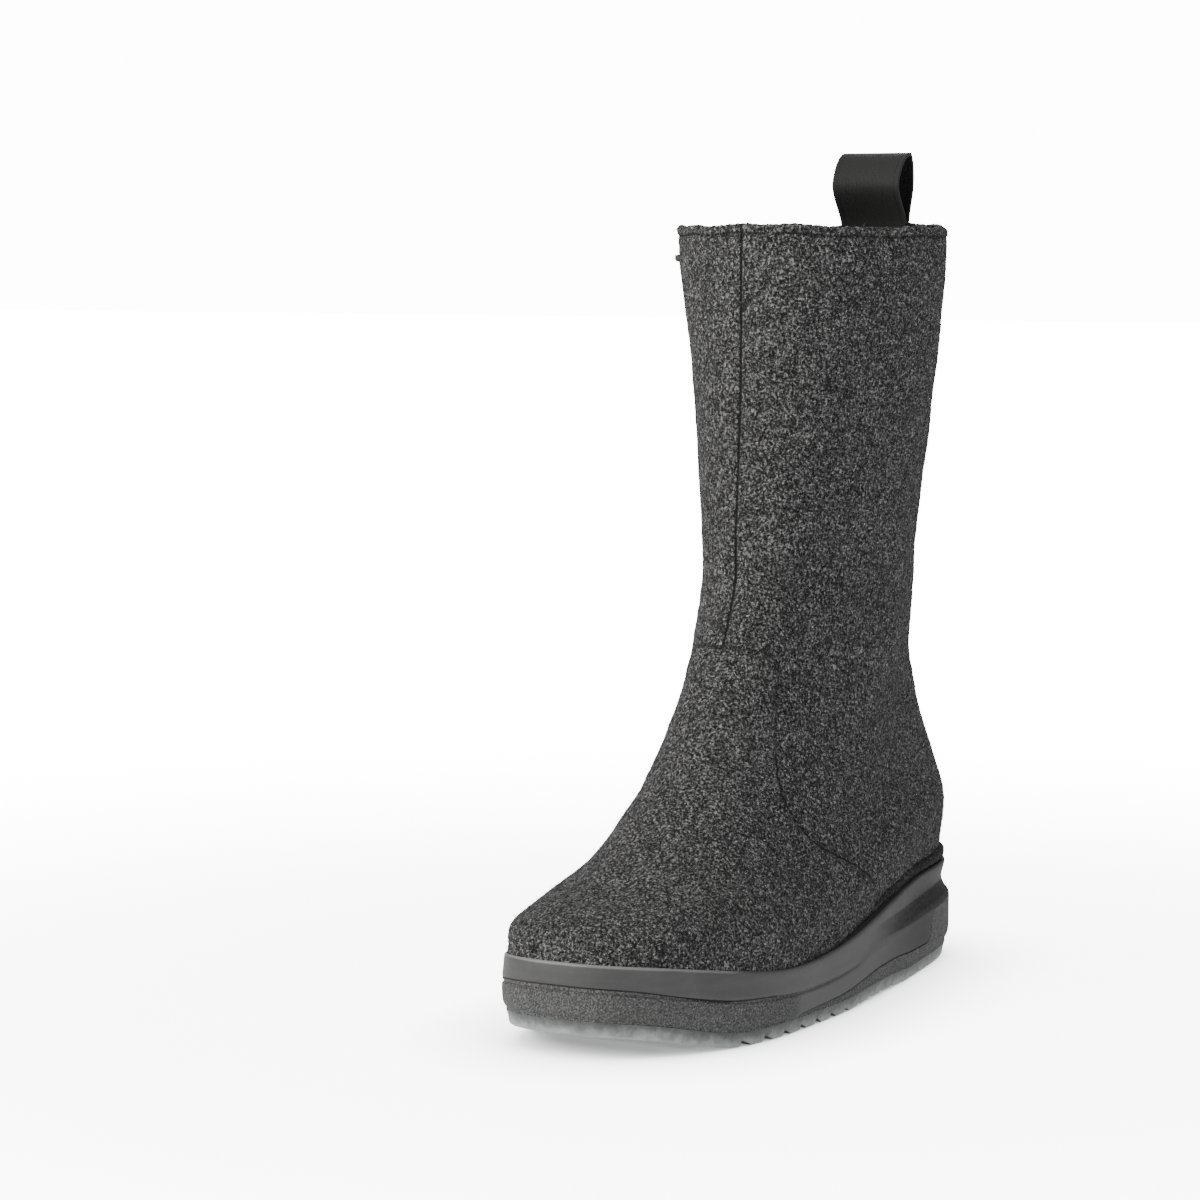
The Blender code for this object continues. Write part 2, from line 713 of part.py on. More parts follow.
def pin_frame():
    """The zip's frame moved to the middle of the pin that holds the pull."""
    point, across, along, out = zip_frame()
    pin_height = slider_top() + GAP + EYE_RADIUS
    pin = point + out * pin_height + along * (SLIDER_LENGTH / 2 - EYE_RADIUS)
    return pin, across, along, out


def placed_object(name, bm, frame, centre, material):
    """An object from a mesh whose own directions become a frame's, moved to a centre."""
    bmesh.ops.recalc_face_normals(bm, faces=bm.faces)
    bm.verts.index_update()
    verts = []
    for vert in bm.verts:
        local = np.array(vert.co) + np.array(centre)
        verts.append(frame[0] + frame[1] * local[0] + frame[2] * local[1] + frame[3] * local[2])
    faces = [[v.index for v in face.verts] for face in bm.faces]
    bm.free()
    return new_object(name, verts, faces, material)


def block(name, frame, centre, size, material):
    """A box whose sides run along a frame's three directions."""
    bm = bmesh.new()
    bmesh.ops.create_cube(bm, size=1.0)
    bmesh.ops.scale(bm, vec=size, verts=bm.verts)
    return placed_object(name, bm, frame, centre, material)


def rod(name, frame, radius, length, material):
    """A round bar along a frame's first direction."""
    bm = bmesh.new()
    bmesh.ops.create_cone(
        bm, cap_ends=True, segments=ROD_SIDES, radius1=radius, radius2=radius, depth=length
    )
    for vert in bm.verts:
        vert.co = (vert.co.z, vert.co.x, vert.co.y)
    return placed_object(name, bm, frame, (0, 0, 0), material)


def build_slider(metal):
    """The slider: a plate over the teeth, two ears and the pin between them."""
    plate_middle = slider_top() - SLIDER_THICKNESS / 2
    size = (SLIDER_WIDTH, SLIDER_LENGTH, SLIDER_THICKNESS)
    slider = block("zip_slider", zip_frame(), (0, 0, plate_middle), size, metal)
    reach = PULL_WIDTH / 2 + GAP + EAR_THICKNESS / 2
    ear_height = EYE_RADIUS + GAP + PIN_DIAMETER / 2 + GAP + SLIDER_THICKNESS / 2
    ear_middle = PIN_DIAMETER / 2 + GAP - ear_height / 2
    ear_size = (EAR_THICKNESS, EAR_LENGTH, ear_height)
    for name, side in (("slider_ear_low", -1), ("slider_ear_high", 1)):
        ear = block(name, pin_frame(), (side * reach, 0, ear_middle), ear_size, None)
        add_boolean(slider, "UNION", as_cutter(ear))
    pin = rod("slider_pin", pin_frame(), PIN_DIAMETER / 2, reach * 2, None)
    add_boolean(slider, "UNION", as_cutter(pin))
    return slider


def pull_profile():
    """The pull seen along its pin, as points (along, out): the round eye and the flat tab."""
    inner = -EYE_RADIUS
    outer = inner + PULL_THICKNESS
    angles = np.linspace(-math.pi / 2, math.pi - math.asin(outer / EYE_RADIUS), ROD_SIDES)
    arc = [(EYE_RADIUS * math.cos(a), EYE_RADIUS * math.sin(a)) for a in angles]
    return arc + [(-PULL_LENGTH, outer), (-PULL_LENGTH, inner)]


def build_pull(metal):
    """The pull tab, lying along the zip from an eye round the slider's pin."""
    frame = pin_frame()
    profile = pull_profile()
    count = len(profile)
    verts = []
    for side in (-PULL_WIDTH / 2, PULL_WIDTH / 2):
        verts += [frame[0] + frame[1] * side + frame[2] * a + frame[3] * o for a, o in profile]
    faces = stack_faces(2, count)
    faces.append(list(range(count)))
    faces.append(list(range(2 * count - 1, count - 1, -1)))
    pull = new_object("zip_pull", verts, faces, metal)
    lie = PULL_THICKNESS / 2 - EYE_RADIUS
    eye = rod("pull_eye_cutter", frame, PIN_DIAMETER / 2 + GAP, PULL_WIDTH * 2, None)
    window_size = (PULL_WINDOW_WIDTH, PULL_WINDOW_LENGTH, PULL_THICKNESS * 2)
    window = block("pull_window_cutter", frame, (0, -PULL_WINDOW_DROP, lie), window_size, None)
    add_boolean(pull, "DIFFERENCE", as_cutter(eye))
    add_boolean(pull, "DIFFERENCE", as_cutter(window))
    return pull


for obj in list(bpy.data.objects):
    bpy.data.objects.remove(obj, do_unlink=True)
parts_collection = bpy.data.collections.new("felt_boot")
cutters_collection = bpy.data.collections.new("cutters")
bpy.context.scene.collection.children.link(parts_collection)
bpy.context.scene.collection.children.link(cutters_collection)
materials = {name: make_material(name) for name in MATERIALS}

build_upper(materials["felt"])
build_cup(materials["rubber"])
build_outsole(materials["tread_rubber"])
build_insole(materials["insole_felt"])
build_loop(materials["tape"])
tape_offset = -(WALL + GAP)
build_zip_strip(
    "zip_tape",
    ZIP_TAPE_WIDTH,
    tape_offset,
    tape_offset - ZIP_TAPE_THICKNESS,
    ZIP_END_HEIGHT - ZIP_TAPE_TAIL,
    COLLAR_HEIGHT - ZIP_TOP_MARGIN,
    materials["tape"],
)
build_zip_strip(
    "zip_teeth",
    ZIP_TEETH_WIDTH,
    tape_offset + GAP + ZIP_TEETH_THICKNESS,
    tape_offset + GAP,
    ZIP_END_HEIGHT + GAP,
    COLLAR_HEIGHT - ZIP_TOP_MARGIN,
    materials["zip_metal"],
)
build_slider(materials["zip_metal"])
build_pull(materials["zip_metal"])
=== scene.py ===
"""Looks of the felt winter boot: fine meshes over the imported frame, materials, light, camera."""

import math
from collections import namedtuple

import bmesh
import bpy
import numpy as np
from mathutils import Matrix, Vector


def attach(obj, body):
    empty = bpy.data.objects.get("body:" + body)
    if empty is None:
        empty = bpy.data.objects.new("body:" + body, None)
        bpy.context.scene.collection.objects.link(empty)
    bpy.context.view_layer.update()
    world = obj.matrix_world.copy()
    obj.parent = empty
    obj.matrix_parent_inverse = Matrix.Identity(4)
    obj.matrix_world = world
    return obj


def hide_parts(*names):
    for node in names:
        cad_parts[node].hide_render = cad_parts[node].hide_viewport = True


# Sizes and tables of the part's source, in metres
SOLE_LENGTH = 0.276
BALL_WIDTH = 0.099
SOLE_ROUNDNESS = 0.68
TOE_TOP = 0.0355
BALL_TOP = 0.0250
HEEL_TOP = 0.0400
TOE_SPRING = 0.0085
ARCH_RISE = 0.0010
HEEL_BEVEL = 0.0012
TREAD_THICKNESS = 0.0056
TREAD_INSET = 0.0026
TREAD_DRAFT = 0.0012
CUP_WALL = 0.0042
CUP_FLOOR_BALL = 0.0068
CUP_FLOOR_HEEL = 0.0165
TOE_FLOOR_SPRING = 0.0051
GROOVE_DEPTH = 0.0007
HEEL_RECESS_DEPTH = 0.0032
LUG_GROOVE_WIDTH = 0.0040
LUG_GROOVE_DEPTH = 0.0026
LUG_GROOVE_DRAFT = 0.0006
LUG_PITCH = 0.0125
LUG_RIM = 0.0130
LUGS_START = 0.10
LUGS_END = 0.955
WALL = 0.0032
ANKLE_HEIGHT = 0.158
COLLAR_HEIGHT = 0.296
COLLAR_BACK_RISE = 0.0015
COLLAR_FRONT_RISE = 0.0012
ANKLE_WIDTH = 0.070
COLLAR_WIDTH = 0.102
ANKLE_FRONT = 0.4457
ANKLE_BACK = 0.9130
COLLAR_FRONT = 0.4674
COLLAR_BACK = 0.8877
HEM_HEIGHT = 0.0040
HEM_PROUD = 0.0004
VAMP_PROUD = 0.0011
WELT_PROUD_BALL = 0.0004
WELT_PROUD_HEEL = 0.0021
ZIP_SLOT_WIDTH = 0.0095
ZIP_TAPE_WIDTH = 0.0260
ZIP_TAPE_THICKNESS = 0.0010
ZIP_TEETH_THICKNESS = 0.0016
ZIP_TOP_MARGIN = 0.0050
ZIP_END_HEIGHT = 0.0520
ZIP_TAPE_TAIL = 0.0060
LOOP_WIDTH = 0.0300
LOOP_RISE = 0.0295
LOOP_THICKNESS = 0.0014
LOOP_FRONT_BULGE = 0.0104
LOOP_BACK_BULGE = 0.0035
LOOP_TAIL = 0.0200
LOOP_SEAT = 0.0007
LOOP_SIDE = 0.0020
LOOP_UNBENT = 0.7
INSOLE_THICKNESS = 0.0042
INSOLE_EDGE = 0.0008
GAP = 0.0003

Outline = namedtuple("Outline", "along outer inner swing")
SOLE_OUTLINE = (
    Outline(0.00, 0.540, 0.580, 0.036),
    Outline(0.12, 0.572, 0.560, 0.012),
    Outline(0.24, 0.560, 0.530, -0.006),
    Outline(0.36, 0.512, 0.495, -0.020),
    Outline(0.50, 0.470, 0.440, -0.030),
    Outline(0.65, 0.430, 0.390, -0.028),
    Outline(0.85, 0.425, 0.415, -0.004),
    Outline(1.00, 0.470, 0.470, 0.010),
)

Ring = namedtuple("Ring", "front_x front_z back_x back_z fore mid rear ends swing follow")
FOOT_RINGS = (
    Ring(0.015, 0.280, 0.985, 0.420, 0.534, 0.465, 0.434, 0.70, 0.030, 0.90),
    Ring(0.058, 0.322, 0.982, 0.510, 0.480, 0.430, 0.398, 0.78, 0.020, 0.60),
    Ring(0.125, 0.350, 0.967, 0.600, 0.425, 0.395, 0.346, 0.84, 0.005, 0.30),
    Ring(0.209, 0.425, 0.952, 0.690, 0.386, 0.374, 0.306, 0.90, 0.000, 0.12),
    Ring(0.303, 0.560, 0.938, 0.780, 0.350, 0.355, 0.289, 0.94, 0.000, 0.00),
    Ring(0.380, 0.740, 0.922, 0.880, 0.333, 0.350, 0.296, 0.97, 0.000, 0.00),
)

# The welt's section: shares of the way from the cup's rim to the felt's next ring, and how
# much of its full reach it stands out there
WELT_PROFILE = (
    (0.00, -0.3),
    (0.02, 0.55),
    (0.07, 0.95),
    (0.20, 1.0),
    (0.30, 0.92),
    (0.36, 0.6),
    (0.42, -0.1),
)

Shaft = namedtuple("Shaft", "rise front back spread rear_share lean")
SHAFT_RINGS = (
    Shaft(0.00, 0.00, 0.00, 0.00, 0.86, 0.006),
    Shaft(0.18, 0.06, 0.26, 0.10, 0.90, 0.012),
    Shaft(0.42, 0.30, 0.50, 0.34, 0.95, 0.018),
    Shaft(0.70, 0.62, 0.76, 0.68, 1.00, 0.014),
    Shaft(0.90, 0.90, 0.92, 0.93, 1.00, 0.004),
    Shaft(1.00, 1.00, 1.00, 1.00, 1.00, 0.000),
)

CupLine = namedtuple("CupLine", "ball waist heel ball_inset waist_inset heel_inset")
CUP_LINES = (
    CupLine(0.000, 0.000, 0.000, 0.0026, 0.0026, 0.0030),
    CupLine(0.100, 0.100, 0.085, 0.0007, 0.0007, 0.0009),
    CupLine(0.250, 0.250, 0.180, 0.0001, 0.0001, 0.0001),
    CupLine(0.443, 0.480, 0.430, 0.0000, 0.0002, 0.0000),
    CupLine(0.500, 0.540, 0.590, GROOVE_DEPTH, 0.0003, 0.0001),
    CupLine(0.557, 0.640, 0.665, 0.0001, 0.0007, 0.0018),
    CupLine(0.720, 0.740, 0.780, 0.0004, 0.0009, HEEL_RECESS_DEPTH),
    CupLine(0.950, 0.950, 0.960, 0.0009, 0.0012, 0.0019),
    CupLine(1.000, 1.000, 1.000, 0.0016, 0.0018, 0.0024),
)

ZipPoint = namedtuple("ZipPoint", "height along")
ZIP_LINE = (
    ZipPoint(0.00, 0.484),
    ZipPoint(0.20, 0.486),
    ZipPoint(0.42, 0.512),
    ZipPoint(0.58, 0.562),
    ZipPoint(0.75, 0.592),
    ZipPoint(1.10, 0.626),
)

VampPoint = namedtuple("VampPoint", "along height")
VAMP_EDGE = (
    VampPoint(0.300, 0.875),
    VampPoint(0.412, 0.872),
    VampPoint(0.440, 0.862),
    VampPoint(0.450, 0.830),
    VampPoint(0.441, 0.770),
    VampPoint(0.418, 0.660),
    VampPoint(0.397, 0.560),
    VampPoint(0.398, 0.470),
    VampPoint(0.427, 0.408),
    VampPoint(0.490, 0.350),
    VampPoint(0.545, 0.290),
    VampPoint(0.580, 0.210),
    VampPoint(0.600, 0.080),
)

# Marks on the cup's side: places along are shares of SOLE_LENGTH from the toe, heights
# are shares of the side's height above the tread.
Mark = namedtuple("Mark", "along height")
TOE_GROOVE = (
    Mark(0.000, 0.600),
    Mark(0.030, 0.580),
    Mark(0.080, 0.525),
    Mark(0.135, 0.510),
    Mark(0.205, 0.545),
    Mark(0.262, 0.550),
)
WING_GROOVE = (
    Mark(0.300, 0.080),
    Mark(0.386, 0.125),
    Mark(0.432, 0.150),
    Mark(0.483, 0.200),
    Mark(0.520, 0.230),
    Mark(0.581, 0.250),
    Mark(0.669, 0.225),
    Mark(0.767, 0.190),
    Mark(0.796, 0.200),
    Mark(0.808, 0.280),
    Mark(0.815, 0.400),
)
RECESS_LOW = (
    Mark(0.480, 0.640),
    Mark(0.568, 0.610),
    Mark(0.677, 0.550),
    Mark(0.800, 0.535),
    Mark(0.900, 0.560),
    Mark(1.000, 0.590),
)
RECESS_HIGH = (
    Mark(0.480, 0.880),
    Mark(0.566, 0.860),
    Mark(0.660, 0.790),
    Mark(0.760, 0.745),
    Mark(0.870, 0.765),
    Mark(1.000, 0.790),
)

# Soft creases of the felt. x and z are the middle in metres, side is
# -1 on the outer side, 1 on the inner side and 0 on both, tilt is the angle of its line
# from level in degrees, long and wide are half-lengths, and depth is how deep the trough
# is; a ridge has a depth below 0.
Crease = namedtuple("Crease", "x z side tilt long wide depth")
CREASES = (
    Crease(0.004, 0.132, 0, 24, 0.030, 0.0060, 0.0010),
    Crease(0.014, 0.117, -1, 30, 0.034, 0.0052, -0.0007),
    Crease(0.030, 0.104, -1, 34, 0.036, 0.0060, 0.0009),
    Crease(0.022, 0.112, 1, 27, 0.030, 0.0055, 0.0009),
    Crease(0.044, 0.152, -1, 12, 0.038, 0.0075, 0.0008),
    Crease(0.040, 0.158, 1, 14, 0.036, 0.0070, 0.0008),
    Crease(0.098, 0.130, 0, -26, 0.026, 0.0065, 0.0009),
    Crease(0.090, 0.172, 0, -14, 0.030, 0.0080, 0.0007),
    Crease(0.030, 0.205, -1, 8, 0.034, 0.0090, 0.0006),
    Crease(0.066, 0.236, -1, -12, 0.030, 0.0085, 0.0005),
    Crease(0.052, 0.262, 1, 10, 0.030, 0.0080, 0.0005),
    Crease(-0.052, 0.066, -1, -38, 0.024, 0.0060, 0.0006),
    Crease(-0.034, 0.078, 1, -36, 0.024, 0.0060, 0.0006),
    Crease(0.050, 0.070, -1, -8, 0.032, 0.0080, 0.0006),
)

# Mesh density of the fine pieces: points around them, rows up them, points along a line
DENSE = 1440
FELT_AROUND = 400
FELT_ROWS = 236
LINING_AROUND = 120
LINING_ROWS = 90
INSOLE_AROUND = 160
CUP_AROUND = 640
CUP_LEVELS = 61
LOOP_POINTS = 96
ZIP_ROWS = 260
BACK_ROWS = 200
RIM_POINTS = 200
LINE_POINTS = 900
BATCH = 20000

# Places of the felt's rings: 1 at the cup's rim and 13 at the collar, where the rolled hem
# leaves a little room
RIM_PLACE = 1.0
COLLAR_PLACE = 13.0
HEM_PLACE = 12.985

# The tread's edge: how far it spreads under the cup, from where along the sole its grooves
# run out through it, how far a groove runs before it meets the ground again, and how much
# shallower it is under the heel
TREAD_FLARE = 0.0010
LUGS_OPEN = 0.16
LUG_WEDGE = 0.0074
LUG_SHALLOW = 0.45

# How far the zip's stitch line lies from the slot, and the hem's line from the rim
ZIP_STITCH = 0.0048
HEM_LINE = HEM_HEIGHT * 0.7

# Marks are kept in millimetres, and a face that one doesn't reach is FAR from it
MM = 1000
FAR = 9.0

# The felt's bulge over the cup's rim, in front of the waist: how proud and how tall
BULGE_PROUD = 0.0025
BULGE_TALL = 0.0036

# Steps over the rolled hem and into the slot's lips: how far inward, and up or across
HEM_STEPS = ((0.0003, 0.0005), (0.0010, 0.0010), (0.0021, 0.0009), (WALL, 0.0003))
LIP_STEPS = ((0.0, 0.0), (0.0005, 0.0004), (0.0014, 0.0006), (WALL, 0.0005))

# Lines drawn on the felt: the attribute that holds the distance to it, how far it wanders,
# half its width and its soft edge in millimetres, and how dark its gaps and all of it are
FeltLine = namedtuple("FeltLine", "mark wander half soft gaps all")
FELT_LINES = (
    FeltLine("seam_at", 0.8, 0.32, 0.42, 0.22, 0.76),
    FeltLine("vamp_at", 1.3, 0.25, 0.75, 0.36, 0.52),
    FeltLine("hem_at", 0.9, 0.20, 0.50, 0.38, 0.42),
    FeltLine("zip_at", 0.5, 0.20, 0.35, 0.60, 0.15),
)

# The felt's three layers of fibres: stretch, turn and density of each
FELT_LAYERS = (
    ((1.0, 0.8, 0.42), (0.7, 0.2, 0.3), 1380),
    ((0.45, 1.0, 0.9), (0.2, 0.9, -0.8), 1300),
    ((0.9, 0.45, 1.0), (-0.8, 0.1, 0.7), 1460),
)

# Colours of the pebbled rubber, and of the tread from the ground up, darker towards the cup as painted
# shade
PEBBLE_COLOURS = (
    (0.36, (0.020, 0.020, 0.021)),
    (0.50, (0.056, 0.056, 0.056)),
    (0.64, (0.150, 0.149, 0.147)),
)
TREAD_COLOURS = (
    (0.02, (0.360, 0.384, 0.380)),
    (0.34, (0.235, 0.252, 0.249)),
    (0.66, (0.115, 0.123, 0.121)),
    (0.98, (0.060, 0.062, 0.062)),
)

# Hairs of the felt: their number, lengths, radii, how steeply they stand, the levels of
# each and the seed of their draws
Hairs = namedtuple("Hairs", "count long thick lift levels seed")
FUZZ = Hairs(21000, (0.0008, 0.0021), (0.00003, 0.000065), (0.30, 0.95), 2, 23)
STRAYS = Hairs(170, (0.0025, 0.0065), (0.00004, 0.00007), (0.10, 0.55), 5, 37)
FELT_SEED = 11

# The loop's stations across the tape, as shares of its width, and the zip's teeth: their
# spacing, the room over and under them, and each tooth's reach and half-width
LOOP_STATIONS = (-0.5, -0.494, -0.47, -0.4, -0.3, -0.15, 0, 0.15, 0.3, 0.4, 0.47, 0.494, 0.5)
LOOP_FOLD = 0.0001
TAPE_STATIONS = 25
TOOTH_PITCH = 0.0011
TOOTH_ROOM = 0.0001
TOOTH_PROFILE = ((0.0024, 0.00045), (-0.0006, 0.00030), (-0.0012, 0.00048), (-0.0015, 0.00022))
SOFT_EDGE = 0.00016

# The camera, from the photograph: where it stands and how it is turned
CAMERA_AZIMUTH = 28.8216
CAMERA_DISTANCE = 1.48535
CAMERA_HEIGHT = 0.29069
CAMERA_FOCUS = 3878.1 / 1200
CAMERA_DOWN = 5.2515
CAMERA_TURN = 2.2384

# The studio: each light's place, size, power and colour, all aimed at one point
LIGHTS_AIM = (0, 0, 0.14)
Light = namedtuple("Light", "name place size power colour")
LIGHTS = (
    Light("key_front_left", (-1.35, 1.05, 0.95), 0.8, 46, (1.0, 0.985, 0.965)),
    Light("fill_outer_side", (-0.9, -1.8, 0.9), 1.4, 19, (0.97, 0.985, 1.0)),
    Light("top", (0.1, 0.1, 1.9), 1.1, 9, (1, 1, 1)),
    Light("back", (1.5, 0.6, 0.9), 1.0, 12, (1, 1, 1)),
)
WORLD_LIGHT = 0.34
WORLD_SEEN = 14.0
FLOOR_REACH = 12
FLOOR_BOUNCE = 0.30


def smooth(places, values, at):
    """Cubic curve through a table's points at an array of places."""
    places = np.asarray(places, float)
    values = np.asarray(values, float)
    at = np.clip(np.asarray(at, float), places[0], places[-1])
    slopes = np.gradient(values, places, axis=0)
    i = np.clip(np.searchsorted(places, at, side="right") - 1, 0, len(places) - 2)
    span = places[i + 1] - places[i]
    t = (at - places[i]) / span
    shape = t.shape + (1,) * (values.ndim - 1)
    t, span = t.reshape(shape), span.reshape(shape)
    start = (1 + 2 * t) * (1 - t) ** 2 * values[i] + t * (1 - t) ** 2 * span * slopes[i]
    end = t * t * (3 - 2 * t) * values[i + 1] - t * t * (1 - t) * span * slopes[i + 1]
    return start + end


def from_table(rows, column, at):
    return smooth([r[0] for r in rows], [getattr(r, column) for r in rows], at)


def ease(low, high, at):
    t = np.clip((np.asarray(at, float) - low) / (high - low), 0.0, 1.0)
    return t * t * (3 - 2 * t)


def unit(vectors):
    return vectors / np.linalg.norm(vectors, axis=-1, keepdims=True)


def closed(loop):
    return np.vstack([loop, loop[:1]])


def walked(points):
    """The length walked along a line up to each of its points."""
    return np.concatenate([[0], np.cumsum(np.linalg.norm(np.diff(points, axis=0), axis=1))])


def sampled(at, places, points):
    """Points at some places of a line, straight between the points that it is given by."""
    return np.column_stack([np.interp(at, places, column) for column in points.T])


def drawn_line(rows):
    """A table's line as many points: their places along the sole and their heights."""
    at = np.arange(len(rows))
    places = np.linspace(0, len(rows) - 1, LINE_POINTS)
    return [smooth(at, [getattr(row, column) for row in rows], places) for column in ("along", "height")]


def x_at(along):
    return (along - 0.5) * SOLE_LENGTH


def along_of(x):
    return np.clip(x / SOLE_LENGTH + 0.5, 0.0, 1.0)


def even_turns(count):
    return np.arange(count) / count


def chord_share(turn):
    return (1 - np.cos(2 * np.pi * turn)) / 2


def sole_half_width(side, along):
    roundness = np.abs(4 * along * (1 - along)) ** (SOLE_ROUNDNESS / 2)
    return from_table(SOLE_OUTLINE, side, along) * BALL_WIDTH * roundness


def sole_loop(count):
    """The sole's widest outline from above, with points spread evenly along it."""
    turn = even_turns(DENSE)
    along = chord_share(turn)
    half = np.where(
        turn < 0.5, -sole_half_width("outer", along), sole_half_width("inner", along)
    )
    middle = from_table(SOLE_OUTLINE, "swing", along) * BALL_WIDTH
    loop = np.column_stack([x_at(along), middle + half])
    if count == DENSE:
        return loop
    ring = closed(loop)
    lengths = walked(ring)
    return sampled(even_turns(count) * lengths[-1], lengths, ring)


def inset_loop(loop, distances):
    tangent = np.roll(loop, -1, axis=0) - np.roll(loop, 1, axis=0)
    normal = unit(np.stack([-tangent[:, 1], tangent[:, 0]], axis=1))
    return loop + normal * np.reshape(distances, (-1, 1))


def cup_top(along):
    toe_to_ball = TOE_TOP + (BALL_TOP - TOE_TOP) * ease(-0.05, 0.32, along)
    return toe_to_ball + (HEEL_TOP - BALL_TOP) * ease(0.33, 0.80, along)


def ground(along):
    toe = TOE_SPRING * (1 - ease(0.0, 0.20, along))
    arch = ARCH_RISE * ease(0.46, 0.56, along) * (1 - ease(0.62, 0.72, along))
    return toe + arch + HEEL_BEVEL * ease(0.95, 1.0, along)


def cup_floor(along):
    flat = CUP_FLOOR_BALL + (CUP_FLOOR_HEEL - CUP_FLOOR_BALL) * ease(0.35, 0.85, along)
    return flat + TREAD_THICKNESS + TOE_FLOOR_SPRING * (1 - ease(0.0, 0.20, along))


def lifted(loop, height):
    return np.column_stack([loop, height(along_of(loop[:, 0]))])


def foot_ring(ring):
    turn = even_turns(DENSE)
    share = chord_share(turn)
    x = x_at(ring.front_x + (ring.back_x - ring.front_x) * share)
    z = (ring.front_z + (ring.back_z - ring.front_z) * share) * ANKLE_HEIGHT
    z = z + ring.follow * (cup_top(along_of(x)) - TOE_TOP - (HEEL_TOP - TOE_TOP) * share)
    width = smooth((0.25, 0.5, 0.75), (ring.fore, ring.mid, ring.rear), share)
    half = width * BALL_WIDTH * np.abs(np.sin(2 * np.pi * turn)) ** ring.ends
    middle = from_table(SOLE_OUTLINE, "swing", along_of(x)) * BALL_WIDTH * ring.follow
    middle = middle + ring.swing * BALL_WIDTH * (1 - share) ** 2 * (1 - ring.follow)
    return np.column_stack([x, middle + np.where(turn < 0.5, -half, half), z])


def shaft_ring(ring):
    turn = even_turns(DENSE)
    share = chord_share(turn)
    front = x_at(ANKLE_FRONT + (COLLAR_FRONT - ANKLE_FRONT) * ring.front)
    back = x_at(ANKLE_BACK + (COLLAR_BACK - ANKLE_BACK) * ring.back)
    half_width = (ANKLE_WIDTH + (COLLAR_WIDTH - ANKLE_WIDTH) * ring.spread) / 2
    height = ANKLE_HEIGHT + (COLLAR_HEIGHT - ANKLE_HEIGHT) * ring.rise
    taper = 1 + (ring.rear_share - 1) * ease(0.35, 1.0, share)
    y = -half_width * taper * np.sin(2 * np.pi * turn) - ring.lean * COLLAR_WIDTH
    z = height + COLLAR_BACK_RISE * ring.rise * ease(0.6, 1.0, share)
    z += COLLAR_FRONT_RISE * ring.rise * (1 - ease(0.0, 0.3, share))
    return np.column_stack([front + (back - front) * share, y, z])


def felt_rows(places):
    """Rings of the felt's outer surface at places from the cup's rim (1) to the collar (13)."""
    feather = inset_loop(sole_loop(DENSE), CUP_WALL + GAP)
    keys = [lifted(feather, lambda a: cup_top(a) + GAP)]
    keys += [foot_ring(row) for row in FOOT_RINGS]
    keys += [shaft_ring(row) for row in SHAFT_RINGS]
    return smooth(np.arange(1, len(keys) + 1), np.array(keys), places)


def zip_x(height):
    return x_at(from_table(ZIP_LINE, "along", height / COLLAR_HEIGHT))


def grid_normals(grid):
    up = np.gradient(grid, axis=0)
    around = np.roll(grid, -1, axis=1) - np.roll(grid, 1, axis=1)
    return unit(np.cross(around, up))


def slot_turns(row, half):
    """Where a dense ring crosses the zip's two edges, as turns, front edge first."""
    turn = even_turns(DENSE)
    inner = np.where((turn > 0.52) & (turn < 0.98))[0]
    found = []
    for edge in (half, -half):
        gap = row[inner, 0] - zip_x(row[inner, 2]) - edge
        crossing = np.where((gap[:-1] > 0) & (gap[1:] <= 0))[0][-1]
        share = gap[crossing] / (gap[crossing] - gap[crossing + 1])
        found.append((inner[crossing] + share) / DENSE)
    return found


def warped_rows(rows, columns, half):
    """Rings sampled at a set of columns, moved so that two of them follow the zip's edges."""
    marks = np.array([slot_turns(row, half) for row in rows])
    knots = [0.0, 0.5, *marks.mean(axis=0), 1.0]
    turn = np.arange(DENSE + 1) / DENSE
    warped = []
    for row, mark in zip(rows, marks):
        at = np.interp(columns, knots, [0.0, 0.5, *mark, 1.0])
        warped.append(sampled(at, turn, closed(row)))
    return np.array(warped)


def felt_columns(count, marks):
    """Columns of the felt: even, closer at the front seam, with columns on the zip's edges."""
    even = even_turns(count)
    columns = even - 0.010 * np.sin(2 * np.pi * even) * np.abs(np.cos(np.pi * even)) ** 8
    columns[np.argmin(np.abs(columns - marks[0]))] = marks[0]
    columns[np.argmin(np.abs(columns - marks[1]))] = marks[1]
    return np.sort(columns)


def slotted_columns(dense, count):
    """The felt's columns, and which of them run along the zip's front and back edges."""
    marks = np.array([slot_turns(row, ZIP_SLOT_WIDTH / 2) for row in dense]).mean(axis=0)
    columns = felt_columns(count, marks)
    first, last = (int(np.argmin(np.abs(columns - mark))) for mark in marks)
    return columns, first, last


def in_slot(grid, first, last):
    """A test for the faces of a grid that lie in the zip's opening."""
    centre_z = (grid[:-1, :, 2] + grid[1:, :, 2]) / 2
    return lambda row, column: first <= column < last and centre_z[row, column] > ZIP_END_HEIGHT


def side_distance(flat, edge):
    """Distance of points from an open line, both in one plane; below 0 on the line's left."""
    direction = np.gradient(edge, axis=0)
    signed = np.empty(len(flat))
    for start in range(0, len(flat), BATCH):
        part = flat[start:start + BATCH]
        gaps = part[:, None, :] - edge[None, :, :]
        distance = np.linalg.norm(gaps, axis=2)
        nearest = distance.argmin(axis=1)
        pick = np.arange(len(part))
        gap = gaps[pick, nearest]
        way = unit(direction[nearest])
        cross = way[:, 0] * gap[:, 1] - way[:, 1] * gap[:, 0]
        signed[start:start + BATCH] = -np.sign(cross) * distance[pick, nearest]
    return signed


